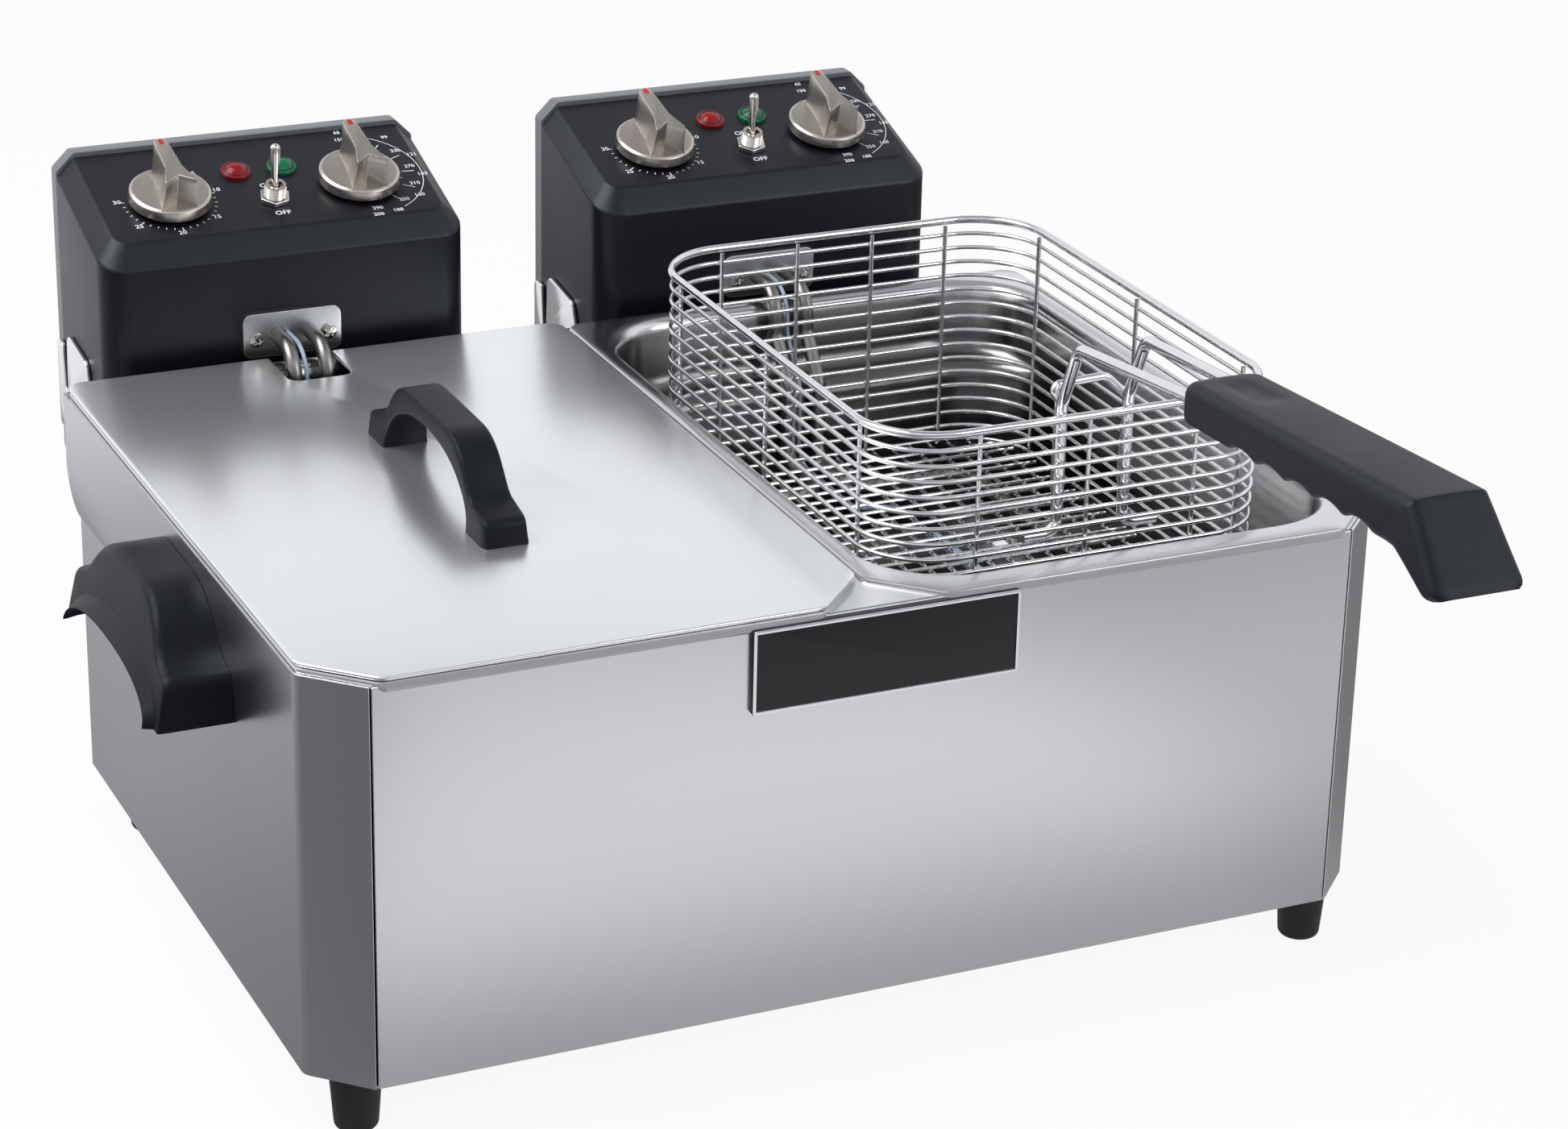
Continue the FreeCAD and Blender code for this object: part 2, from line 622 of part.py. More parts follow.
lid_screws = [screw(tank_x("left"), y, LID_Z, None, "lid_gauge + screw_length / 2") for y in lid_screw_places]
finish(group(lid_screws), "lid_handle_screws")


# Wire basket in the right tank.
def ring(half_x, half_y, corner, wire, z):
    """A round wire bent into a rounded rectangle at height z: four straight runs, four quarter turns."""
    vector = FreeCAD.Vector
    runs = []
    for sign in (1, -1):
        across = vector(corner - half_x, sign * half_y, z)
        runs.append(Part.makeCylinder(wire, 2 * (half_x - corner), across, vector(1, 0, 0)))
        lengthwise = vector(sign * half_x, corner - half_y, z)
        runs.append(Part.makeCylinder(wire, 2 * (half_y - corner), lengthwise, vector(0, 1, 0)))
    for quarter, (sx, sy) in enumerate(((1, 1), (-1, 1), (-1, -1), (1, -1))):
        turn = Part.makeTorus(corner, wire, vector(), vector(0, 0, 1), -180, 180, 90)
        turn.rotate(vector(), vector(0, 0, 1), 90 * quarter)
        turn.translate(vector(sx * (half_x - corner), sy * (half_y - corner), z))
        runs.append(turn)
    return runs[0].multiFuse(runs[1:])


def chord(half_long, half_wide, corner, offset):
    """Half the length inside a rounded rectangle along a line at an offset from its middle."""
    past = max(0.0, abs(offset) - (half_wide - corner))
    return half_long - corner + math.sqrt(corner**2 - past**2)


def spread(half, pitch):
    """Evenly spaced offsets across a width, about pitch apart and symmetrical."""
    gaps = max(2, round(2 * half / pitch))
    return [-half + 2 * half * k / gaps for k in range(1, gaps)]


half_x = size("basket_width") / 2
half_y = size("basket_length") / 2
corner = size("basket_radius")
wire = size("ring_wire") / 2
rim = size("rim_wire") / 2
layer = 2 * wire + size("weld_gap")
rim_z = size("body_height") + size("flange_gauge") + size("basket_stand")
floor_z = rim_z - size("basket_height")
ring_step = size("basket_height") / size("ring_count")
along_x = FreeCAD.Vector(1, 0, 0)
along_y = FreeCAD.Vector(0, 1, 0)
along_z = FreeCAD.Vector(0, 0, 1)


def wires(shapes, label, shift="basket_shift"):
    """A group of separate wires about the basket's middle, or about the tank's with no shift."""
    place = f"{tank_x('right')} - {shift}"
    return shape_piece(Part.makeCompound(shapes), label, place, "basket_front + basket_length / 2")


wires([ring(half_x, half_y, corner, rim, rim_z)], "basket_rim")
wall_rings = [
    ring(half_x, half_y, corner, wire, floor_z + k * ring_step) for k in range(int(size("ring_count")))
]
wires(wall_rings, "basket_rings")

post_low = floor_z - wire
post_high = rim_z - rim - size("weld_gap") - post_low


def shares(count):
    """Places spread evenly along a wall, from -1 at one end to 1 at the other."""
    return [2 * (k + 0.5) / count - 1 for k in range(int(count))]


post_places = []
for sign, count in ((1, "post_count"), (-1, "front_post_count")):
    for share in shares(size(count)):
        post_places.append((share * (half_x - corner / 2), sign * (half_y - layer)))
side_posts = int(size("side_post_count"))
for sign in SIDES.values():
    for k in range(side_posts):
        post_places.append((sign * (half_x - layer), (2 * k / (side_posts - 1) - 1) * (half_y - corner)))
posts = []
for px, py in post_places:
    posts.append(Part.makeCylinder(wire, post_high, FreeCAD.Vector(px, py, post_low), along_z))
wires(posts, "basket_posts")

floor_long = []
for offset in spread(half_x, size("floor_pitch")):
    reach = chord(half_y, half_x, corner, offset)
    start = FreeCAD.Vector(offset, -reach, floor_z - layer)
    floor_long.append(Part.makeCylinder(wire, 2 * reach, start, along_y))
wires(floor_long, "basket_floor_long")
inner_x = half_x - 2 * layer
inner_y = half_y - 2 * layer
inner_corner = corner - 2 * layer
floor_cross = []
for offset in spread(inner_y, size("floor_pitch")):
    reach = chord(inner_x, inner_y, inner_corner, offset)
    floor_cross.append(Part.makeCylinder(wire, 2 * reach, FreeCAD.Vector(-reach, offset, floor_z), along_x))
wires(floor_cross, "basket_floor_cross")


def bent_tube(points, bend, radius):
    """A round tube along straight runs joined by tangent arcs of one bend radius."""
    vector = [FreeCAD.Vector(*p) for p in points]
    edges = []
    start = vector[0]
    for before, here, after in zip(vector, vector[1:], vector[2:]):
        come = (here - before).normalize()
        go = (after - here).normalize()
        half_turn = come.getAngle(go) / 2
        back = bend * math.tan(half_turn)
        first = here - come * back
        last = here + go * back
        inward = (go - come).normalize()
        centre = here + inward * (bend / math.cos(half_turn))
        edges.append(Part.LineSegment(start, first).toShape())
        edges.append(Part.Arc(first, centre - inward * bend, last).toShape())
        start = last
    edges.append(Part.LineSegment(start, vector[-1]).toShape())
    path = Part.Wire(edges)
    heading = (vector[1] - vector[0]).normalize()
    section = Part.Wire(Part.makeCircle(radius, vector[0], heading))
    tube = path.makePipeShell([section], True, False)
    expected = math.pi * radius**2 * path.Length
    if abs(tube.Volume - expected) > expected / 50:
        raise ValueError("a bent tube's volume doesn't match its section times its length")
    return tube


rod_radius = size("rod_wire") / 2
rod_y = rim + rod_radius + size("weld_gap") - half_y
rod_top = rim_z + size("rod_rise")
grip_y = -size("grip_start") - size("basket_front") - half_y
handle_rods = []
for sign in (1, -1):
    rod_x = sign * size("rod_pitch") / 2
    rod_low = rim_z - size("rod_reach")
    route = [
        (rod_x + sign * size("rod_foot"), rod_y, rod_low),
        (rod_x, rod_y, rod_low),
        (rod_x, rod_y, rim_z + rim + rod_radius),
        (rod_x, rod_y - size("rod_lean"), rod_top - size("rod_dip")),
        (rod_x, grip_y + size("rod_bend"), rod_top),
        (rod_x, grip_y - size("rod_hold"), rod_top),
    ]
    handle_rods.append(bent_tube(route, size("rod_bend"), rod_radius))
wires(handle_rods, "basket_handle_rods", "0")

ROD_Z = f"({RIM_Z} + rod_rise)"
grip_root = "(-grip_start)"
grip_bend = "(-grip_start - grip_length + grip_tip)"
grip_low = f"({ROD_Z} - grip_thick / 2)"
grip_points = [
    (grip_root, grip_low),
    (grip_root, f"{grip_low} + grip_thick"),
    (grip_bend, f"{grip_low} + grip_thick + grip_tilt"),
    ("-grip_start - grip_length", f"{grip_low} + grip_thick + grip_tilt - grip_tip_drop"),
    ("-grip_start - grip_length + grip_tip / 3", f"{grip_low} + grip_thick + grip_tilt - grip_tip_drop - 3"),
    (f"{grip_bend} + grip_tip / 4", f"{grip_low} + grip_tilt * 0.7"),
]
grip_block = padded("YZ_Plane", grip_points, "grip_width", both_ways=True)
doc.recompute()
grip_pad = grip_block.Tip
grip_half = size("grip_width") / 2
grip_sides = [
    f"Edge{n}" for n, e in enumerate(grip_pad.Shape.Edges, start=1)
    if abs(abs(e.CenterOfMass.x) - grip_half) < 1e-6
]
grip_edges = grip_block.newObject("PartDesign::Fillet", "edges")
grip_edges.Base = (grip_pad, grip_sides)
grip_edges.setExpression("Radius", bind("grip_round"))
at(grip_block, tank_x("right"))
grip_bores = [
    rod("rod_wire / 2 + weld_gap", "rod_hold + 1", f"{tank_x('right')} + {sign} * rod_pitch / 2",
        "-grip_start - rod_hold", ROD_Z, ALONG_Y)
    for sign in SIDES.values()
]
finish(cut(grip_block, grip_bores), "basket_grip")


# Control heads: a moulded shell with a sloped panel, a rear cover, and what they carry.
COS = "cos(panel_slope * 1 deg)"
SIN = "sin(panel_slope * 1 deg)"


def on_panel(obj, x, up, out):
    """Sets a piece on the sloped panel of a head: its Z points out of the panel, its Y up the slope."""
    obj.Placement = FreeCAD.Placement(FreeCAD.Vector(), FreeCAD.Rotation(FreeCAD.Vector(1, 0, 0), 1))
    obj.setExpression("Placement.Rotation.Angle", bind("panel_slope * 1 deg"))
    y = f"{HEAD_Y} + ({up}) * {COS} - ({out}) * {SIN}"
    z = f"{PANEL_Z} + ({up}) * {SIN} + ({out}) * {COS}"
    return at(obj, x, y, z)


def finish_on_panel(obj, label, x, up, out):
    """Names a finished piece that stands on a head's sloped panel."""
    on_panel(obj, x, up, out)
    obj.setExpression("Placement.Base.y", bind(f"{FRONT_Y} + {HEAD_Y} + ({up}) * {COS} - ({out}) * {SIN}"))
    obj.setExpression("Placement.Base.z", bind(f"foot_height + {PANEL_Z} + ({up}) * {SIN} + ({out}) * {COS}"))
    obj.Label = label
    pieces[label] = obj
    return obj


def panel_hole(diameter, x, up):
    """A round hole through the sloped panel."""
    return on_panel(rod(f"{diameter} / 2", "6 * head_wall"), x, up, "-3 * head_wall")


def head_form(middle, inset):
    """The head's outer form, or its inside when drawn in by an inset: a side profile with cut corners."""
    slack = f"({inset})"
    half_turn = "((90 + panel_slope) / 2 * 1 deg)"
    bevel = f"(head_bevel - {slack} * (1 / sin({half_turn}) - 1) / cos({half_turn}))"
    fold_y = f"({HEAD_Y} + {slack})"
    fold_z = f"({PANEL_Z} - {slack} * (1 - {SIN}) / {COS})"
    apex_y = f"({HEAD_Y} + panel_length * {COS})"
    apex_z = f"({PANEL_Z} + panel_length * {SIN})"
    profile = [
        (fold_y, f"head_foot + {slack}"),
        (fold_y, f"{fold_z} - {bevel}"),
        (f"{fold_y} + {bevel} * {COS}", f"{fold_z} + {bevel} * {SIN}"),
        (apex_y, f"{apex_z} - {slack} / {COS}"),
        (f"{HEAD_Y} + head_depth", f"{apex_z} - head_top_drop - {slack}"),
        (f"{HEAD_Y} + head_depth", f"head_foot + {slack}"),
    ]
    form = padded("YZ_Plane", profile, f"head_width - 2 * {slack}", both_ways=True)
    doc.recompute()
    pad = form.Tip
    low = pad.Shape.BoundBox.ZMin + 1
    side = pad.Shape.BoundBox.XMax
    rear = pad.Shape.BoundBox.YMax
    top_edges = []
    for number, edge in enumerate(pad.Shape.Edges, start=1):
        upper = min(vertex.Point.z for vertex in edge.Vertexes) > low
        if upper and abs(abs(edge.CenterOfMass.x) - side) < 1e-6 and edge.CenterOfMass.y < rear - 1e-6:
            top_edges.append(f"Edge{number}")
    corners = form.newObject("PartDesign::Chamfer", "corners")
    corners.Base = (pad, top_edges)
    corners.setExpression("Size", bind(f"head_corner - {slack} * (2 - sqrt(2))"))
    at(form, middle)
    return form


def head(side):
    """One control head with its element, controls, lamps and switch."""
    x = head_x(side)
    split = f"({HEAD_Y} + head_depth - cover_depth)"
    beyond = box("2 * head_width", "2 * cover_depth", "2 * body_height", f"{x} - head_width", split, "0")
    inside = head_form(x, "head_wall")
    knob_places = {"timer": f"{x} - knob_spread", "thermostat": f"{x} + knob_spread"}
    lamp_places = {
        "power_lamp": f"{x} + lamp_middle - lamp_spread",
        "heat_lamp": f"{x} + lamp_middle + lamp_spread",
    }
    openings = [panel_hole("shaft_hole", place, "knob_up") for place in knob_places.values()]
    openings += [panel_hole("lamp_hole", place, "lamp_up") for place in lamp_places.values()]
    switch_place = f"{x} + lamp_middle"
    openings.append(panel_hole("switch_hole", switch_place, "switch_up"))
    tube_places = [f"{x} - tube_spread", f"{x} + tube_spread"]
    bulb_place = x
    through = "tube_size / 2 + tube_clearance"
    front = f"{HEAD_Y} - 2 * plate_thick"
    openings += [rod(through, "8 * head_wall", place, front, TUBE_Z, ALONG_Y) for place in tube_places]
    thread_hole = "capillary / 2 + tube_clearance"
    openings.append(rod(thread_hole, "8 * head_wall", bulb_place, front, TUBE_Z, ALONG_Y))
    screw_places = [f"{x} + {sign} * plate_screws" for sign in SIDES.values()]
    grip_hole = "screw_shank / 2 + tube_clearance"
    screw_drop = f"{TUBE_Z} - 2"
    openings += [rod(grip_hole, "8 * head_wall", place, front, screw_drop, ALONG_Y) for place in screw_places]
    reset_x = f"{x} - reset_side"
    reset_z = f"{FLANGE_TOP} - reset_drop"
    openings.append(rod("reset_size / 2 + shaft_fit", "8 * head_wall", reset_x, front, reset_z, ALONG_Y))
    gland_x = f"{x} + knob_spread"
    gland_y = f"{HEAD_Y} + head_depth / 2"
    openings.append(rod("gland_bore / 2 + 1", "4 * head_wall", gland_x, gland_y, "head_foot - head_wall"))
    pin_y = f"({HEAD_Y} + head_depth - pin_inset)"
    pin_z = "(body_height - bracket_height + pin_rise)"
    pin_span = "(head_width + 4 * bracket_gauge)"
    pin_hole = "pin_size / 2 + tube_clearance"
    openings.append(rod(pin_hole, pin_span, f"{x} - {pin_span} / 2", pin_y, pin_z, ALONG_X))
    shell = cut(head_form(x, "0"), [beyond, inside] + openings)
    finish(shell, f"{side}_head_housing")

    pan = box("2 * head_width", "cover_depth - cover_gap", "2 * body_height", f"{x} - head_width",
              f"{split} + cover_gap", "0")
    room = box("head_width - 8 * head_wall", "cover_depth", "head_front_height - 2 * head_wall",
               f"{x} - head_width / 2 + 4 * head_wall", f"{split} - head_wall", "head_foot + 2 * head_wall")
    finish(cut(common(head_form(x, "0"), pan), [room]), f"{side}_head_cover")

    # Element plate with the two tubes, the capillary and its screws through it.
    plate_y = f"({HEAD_Y} - plate_thick)"
    plate = box("plate_width", "plate_thick", "plate_height", f"{x} - plate_width / 2", plate_y,
                f"{TUBE_Z} - plate_height / 2")
    plate = round_edges(plate, "plate_round", lambda run, mid: abs(run.y) > 0.99)
    plate_holes = [rod(through, "4 * plate_thick", p, front, TUBE_Z, ALONG_Y) for p in tube_places]
    plate_holes.append(rod(thread_hole, "4 * plate_thick", bulb_place, front, TUBE_Z, ALONG_Y))
    plate_holes += [rod(grip_hole, "4 * plate_thick", p, front, screw_drop, ALONG_Y) for p in screw_places]
    finish(cut(plate, plate_holes), f"{side}_element_plate")
    finish(group([screw(p, plate_y, screw_drop, ALONG_Y) for p in screw_places]), f"{side}_plate_screws")
    heating_loop(side)
    thermostat_bulb(side)

    # Reset button, clip-on brackets and the pins that hold the head in them.
    button = rod("reset_size / 2", "reset_length", turn=ALONG_Y)
    finish(button, f"{side}_reset_button", reset_x, f"{HEAD_Y} - reset_proud", reset_z)
    finish(group([bracket(x, sign, pin_y, pin_z) for sign in SIDES.values()]), f"{side}_head_brackets")
    pin_reach = "(bracket_gap + bracket_gauge + pin_proud)"
    pins = []
    for sign in SIDES.values():
        inwards = "2 * head_wall" if sign > 0 else pin_reach
        inner = f"{x} + {sign} * head_width / 2 - {inwards}"
        stub = rod("pin_size / 2", f"{pin_reach} + 2 * head_wall", inner, pin_y, pin_z, ALONG_X)
        pins.append(stub)
    finish(group(pins), f"{side}_head_pins")

    # Cable gland under the head.
    collar = rod("gland_size / 2", "gland_length", z="0", turn=DOWN)
    throat = rod("gland_bore / 2", "gland_length + 2", z="1", turn=DOWN)
    finish(cut(collar, [throat]), f"{side}_cable_gland", gland_x, gland_y, "head_foot")

    for name, place in knob_places.items():
        control(f"{side}_{name}", place)
        knob(f"{side}_{name}_knob", place)
    for name, place in lamp_places.items():
        lamp(f"{side}_{name}", place)
    toggle(side, switch_place)


drop_y = size("flange_length") - size("flange_lead") - size("tube_back")
loop_z = floor_z - layer - wire - size("basket_rest") - size("tube_size") / 2


def tube_drop():
    """Way of a tube from inside the head, over the flange and down past the shelf, as y and z."""
    high = size("body_height") + size("flange_gauge") + size("tube_rise")
    inside_y = drop_y + size("tube_back") + size("head_gap") + size("tube_inside")
    jog_y = drop_y - size("jog_reach")
    jog_z = high - size("jog_start")
    jog_end = jog_z - size("jog_drop")
    return [(inside_y, high), (drop_y, high), (drop_y, jog_z), (jog_y, jog_end), (jog_y, loop_z)]


def heating_loop(side):
    """The heating element: two tubes out of the plate, down the tank's rear and round one wide loop."""
    x = SIDES[side] * size("tank_pitch") / 2 - size("head_shift")
    turn_y = drop_y - size("jog_reach") - size("loop_rear")
    front_y = size("mouth_front") + size("loop_front")
    near = size("tube_spread")
    far = size("loop_half")
    half = [(near, py, pz) for py, pz in tube_drop()]
    half += [(near, turn_y, loop_z), (far, turn_y, loop_z), (far, front_y, loop_z)]
    route = [(x - px, py, pz) for px, py, pz in half]
    route += [(x + px, py, pz) for px, py, pz in reversed(half)]
    tube = bent_tube(route, size("tube_bend"), size("tube_size") / 2)
    return shape_piece(tube, f"{side}_heating_element")


def thermostat_bulb(side):
    """The thermostat's sensing bulb between the element's tubes, and its capillary up into the head."""
    x = SIDES[side] * size("tank_pitch") / 2 - size("head_shift")
    turn_y = drop_y - size("jog_reach") - 2 * size("loop_rear")
    bulb_x = x + size("bulb_side")
    bulb_y = turn_y - size("loop_rear")
    route = [(x, py, pz) for py, pz in tube_drop()]
    route += [(x, turn_y, loop_z), (bulb_x, turn_y, loop_z), (bulb_x, bulb_y, loop_z)]
    thread = bent_tube(route, size("tube_bend"), size("capillary") / 2)
    start = FreeCAD.Vector(bulb_x, bulb_y - size("bulb_length") + 1, loop_z)
    bulb = Part.makeCylinder(size("bulb_size") / 2, size("bulb_length"), start, along_y)
    return shape_piece(thread.fuse(bulb), f"{side}_thermostat_bulb")


def bracket(x, sign, pin_y, pin_z):
    """A plate beside the head, fixed to the casing's back, with two fins that rise behind it."""
    low = "(body_height - bracket_height)"
    rear = f"({EAR_Y} + bracket_length)"
    slot = f"({rear} - fin_rear)"
    slot_z = f"({pin_z} + pin_rise)"
    fin = f"({slot} - fin_slot)"
    points = [
        (EAR_Y, low), (rear, low), (rear, "body_height - fin_slot"), (slot, "body_height - fin_slot"),
        (f"{slot} - fin_slot / 4", slot_z), (f"{fin} + fin_slot / 4", slot_z), (fin, "body_height"),
        (f"{fin} - fin_front", "body_height - fin_slot / 2"),
        (f"{fin} - fin_front - fin_slot", "body_height - bracket_drop"),
        (EAR_Y, "body_height - bracket_drop"),
    ]
    face = f"{sign} * (head_width / 2 + bracket_gap + bracket_gauge / 2) - bracket_gauge / 2"
    plate = padded("YZ_Plane", points, "bracket_gauge", face)
    at(plate, x)
    pin_hole = "pin_size / 2 + tube_clearance"
    hole = rod(pin_hole, "4 * bracket_gauge", f"{x} + {face} - bracket_gauge", pin_y, pin_z, ALONG_X)
    return cut(plate, [hole])


def control(label, x):
    """A timer or thermostat: a case behind the panel and a shaft through it."""
    case = box("control_size", "control_size", "control_depth", "-control_size / 2", "-control_size / 2",
               "-control_depth - head_wall - weld_gap")
    shaft = rod("shaft_size / 2", "shaft_length + head_wall + 1", z="-head_wall - 1")
    return finish_on_panel(fuse([case, shaft]), label, x, "knob_up", "0")


def knob(label, x):
    """A knob: a round skirt, and a wing across it that ends in a pointer; bored for its shaft."""
    skirt = doc.addObject("Part::Cone", "skirt")
    skirt.setExpression("Radius1", bind("knob_size / 2"))
    skirt.setExpression("Radius2", bind("knob_size / 2 - knob_skirt / 3"))
    skirt.setExpression("Height", bind("knob_skirt"))
    wing_points = [
        ("-knob_wing / 2", "-knob_size / 2 + knob_skirt / 3"),
        ("knob_wing / 2", "-knob_size / 2 + knob_skirt / 3"),
        ("knob_wing / 3", "0"),
        ("knob_wing / 5", "knob_size / 2 - 1"),
        ("-knob_wing / 5", "knob_size / 2 - 1"),
        ("-knob_wing / 3", "0"),
    ]
    wing = padded("XY_Plane", wing_points, "knob_rise - 1", "1")
    bore = rod("shaft_size / 2 + shaft_fit", "shaft_length + 1", z="-1")
    return finish_on_panel(cut(fuse([skirt, wing]), [bore]), label, x, "knob_up", "knob_lift")


def lamp(label, x):
    """A signal lamp: a domed lens on the panel and a barrel behind it."""
    barrel = rod("lamp_barrel / 2", "lamp_length", z="-lamp_length")
    lens = doc.addObject("Part::Cone", "lens")
    lens.setExpression("Radius1", bind("lamp_lens / 2"))
    lens.setExpression("Radius2", bind("lamp_lens / 2 - lamp_dome"))
    lens.setExpression("Height", bind("lamp_dome"))
    return finish_on_panel(fuse([barrel, lens]), label, x, "lamp_up", "0")


def toggle(side, x):
    """A toggle switch: case, bush, hexagon nut and pivot pin, and the lever that rocks on the pin."""
    case = box("switch_case", "switch_case", "switch_case_depth", "-switch_case / 2", "-switch_case / 2",
               "-switch_case_depth - head_wall - weld_gap")
    bush = rod("switch_bush / 2", "switch_bush_height + head_wall + 1", z="-head_wall - 1")
    bore = rod("switch_bore / 2", "switch_bush_height + 1", z="1")
    nut = doc.addObject("Part::Prism", "nut")
    nut.Polygon = 6
    nut.setExpression("Circumradius", bind("switch_nut / 2 / cos(30 deg)"))
    nut.setExpression("Height", bind("switch_nut_thick"))
    pin = rod("lever_pin / 2", "switch_bush", "-switch_bush / 2", "0", "lever_pivot", ALONG_X)
    body = fuse([cut(fuse([case, bush, nut]), [bore]), pin])
    finish_on_panel(body, f"{side}_toggle_switch", x, "switch_up", "0")

    hub = rod("lever_hub / 2", "lever_hub", "-lever_hub / 2", "0", "0", ALONG_X)
    stick = doc.addObject("Part::Cone", "stick")
    stick.setExpression("Radius1", bind("lever_root / 2"))
    stick.setExpression("Radius2", bind("lever_tip / 2"))
    stick.setExpression("Height", bind("lever_length"))
    tip = doc.addObject("Part::Sphere", "tip")
    tip.setExpression("Radius", bind("lever_tip / 2"))
    at(tip, z="lever_length")
    eye = rod("lever_pin / 2 + shaft_fit", "2 * lever_hub", "-lever_hub", "0", "0", ALONG_X)
    lever = cut(fuse([hub, stick, tip]), [eye])
    finish_on_panel(lever, f"{side}_toggle_lever", x, "switch_up", "lever_pivot")
    lever.setExpression("Placement.Rotation.Angle", bind("(panel_slope - lever_lean) * 1 deg"))


head("left")
head("right")

doc.recompute()
for obj in doc.Objects:
    if {"Invalid", "Error"} & set(obj.State):
        raise RuntimeError(f"{obj.Name} ({obj.Label}) failed: {obj.State}")
for label, obj in pieces.items():
    if obj.Shape.isNull() or not obj.Shape.isValid() or not obj.Shape.Solids:
        raise RuntimeError(f"{label} has no valid solid")

os.makedirs("parts", exist_ok=True)
for label, obj in pieces.items():
    obj.Shape.exportStep(f"parts/{label}.step")
print(f"{len(pieces)} pieces written")
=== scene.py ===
import math

import bpy
import numpy as np
from mathutils import Matrix


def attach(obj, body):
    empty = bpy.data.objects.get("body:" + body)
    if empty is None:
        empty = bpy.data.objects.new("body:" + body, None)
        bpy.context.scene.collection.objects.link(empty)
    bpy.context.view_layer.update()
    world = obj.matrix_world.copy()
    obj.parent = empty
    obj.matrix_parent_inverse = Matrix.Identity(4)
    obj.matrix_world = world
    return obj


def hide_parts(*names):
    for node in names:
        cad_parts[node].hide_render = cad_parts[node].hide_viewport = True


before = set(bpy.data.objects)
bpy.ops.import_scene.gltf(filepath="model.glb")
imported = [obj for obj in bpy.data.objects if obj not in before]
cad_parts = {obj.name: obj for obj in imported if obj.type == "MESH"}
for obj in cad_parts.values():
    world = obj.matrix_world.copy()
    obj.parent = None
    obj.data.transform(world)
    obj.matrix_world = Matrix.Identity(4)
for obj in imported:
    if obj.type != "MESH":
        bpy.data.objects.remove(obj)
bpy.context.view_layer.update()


# Casing: a front sheet and two side sheets of brushed stainless steel, 1.5 mm thick. The side sheets turn in
# across the front corners and meet the front sheet at an upright seam; all three are screwed to the base.
# The floor, the back and the top frame are sheets of the same steel.
def eased(points, radii, steps=6, joined=True):
    """A line through the points with each corner rounded: the arc's points are the two spokes from the arc's
    centre to its ends, weighted by the sines of the angle still to go and the angle gone."""
    points = np.asarray(points, float)
    radii = np.broadcast_to(np.asarray(radii, float), len(points))[:, None] + 1e-3
    back = np.roll(points, 1, 0) - points
    onward = np.roll(points, -1, 0) - points
    back /= np.linalg.norm(back, axis=1, keepdims=True)
    onward /= np.linalg.norm(onward, axis=1, keepdims=True)
    half = np.arccos(np.clip((back * onward).sum(1, keepdims=True), -1, 1)) / 2
    bisector = back + onward
    bisector /= np.maximum(np.linalg.norm(bisector, axis=1, keepdims=True), 1e-9)
    centre = points + bisector * radii / np.sin(half)
    reach = radii / np.tan(half)
    first = (points + back * reach - centre)[:, None]
    last = (points + onward * reach - centre)[:, None]
    sweep = np.maximum(np.pi - 2 * half, 1e-6)[:, None]
    share = np.linspace(0, 1, steps)[None, :, None]
    arcs = np.sin((1 - share) * sweep) * first + np.sin(share * sweep) * last
    arcs = arcs / np.sin(sweep) + centre[:, None]
    if joined:
        return arcs.reshape(-1, points.shape[1])
    return np.concatenate([points[:1], arcs[1:-1].reshape(-1, points.shape[1]), points[-1:]])


def oblong(left, low, right, high, corner, steps=6):
    """A rectangle with rounded corners."""
    return eased([(left, low), (right, low), (right, high), (left, high)], corner, steps)


def layers(outline, section, lay, origin=(0, 0, 0)):
    """Copies of a flat outline as stacked loops: each is drawn in by its inset along the mitre of every
    corner and lifted to its height, and the three values run along the three directions of the lay."""
    outline = np.asarray(outline, float)
    inset, lift = np.asarray(section, float).T
    edge = np.roll(outline, -1, 0) - outline
    edge /= np.maximum(np.linalg.norm(edge, axis=1, keepdims=True), 1e-12)
    ahead = np.roll(outline, -1, 0)
    way = np.sign((outline[:, 0] * ahead[:, 1] - outline[:, 1] * ahead[:, 0]).sum())
    out = way * np.stack([edge[:, 1], -edge[:, 0]], 1)
    before = np.roll(out, 1, 0)
    mitre = (out + before) / (1 + (out * before).sum(1, keepdims=True))
    flat = outline[None] - inset[:, None, None] * mitre[None]
    lifted = np.broadcast_to(lift[:, None, None], flat.shape[:2] + (1,))
    return np.concatenate([flat, lifted], 2) @ np.asarray(lay, float) + np.asarray(origin, float)


def edged(low, high, ease, steps=4):
    """Section of a plate with quarter-round edges, as inset and height from its lower face to its upper."""
    turn = np.linspace(0, np.pi / 2, steps)
    lower = np.stack([ease * (1 - np.sin(turn)), low + ease * (1 - np.cos(turn))], 1)
    return np.concatenate([lower, lower[::-1] * [1, -1] + [0, low + high]])


def skin(loops, ring=False):
    """A closed skin over loops of points: squares between neighbouring loops, and either a flat face on the
    first and last loop or, for a ring, squares from the last back to the first; faces look outwards."""
    rows, columns = loops.shape[:2]
    row = np.arange(rows if ring else rows - 1)[:, None]
    column = np.arange(columns)[None]
    after = (row + 1) % rows
    beside = (column + 1) % columns
    corners = (row * columns + column, row * columns + beside,
               after * columns + beside, after * columns + column)
    faces = [np.stack(np.broadcast_arrays(*corners), -1).reshape(-1, 4)]
    if not ring:
        faces += [np.arange(columns)[None, ::-1], np.arange(columns)[None] + (rows - 1) * columns]
    points = loops.reshape(-1, 3)
    volume = 0.0
    for block in faces:
        spot = points[block] - points.mean(0)
        volume += (spot[:, :1] * np.cross(spot[:, 1:-1], spot[:, 2:])).sum()
    return points, [block[:, ::-1] if volume < 0 else block for block in faces]


frame_origin = np.array([0, 125, -30])


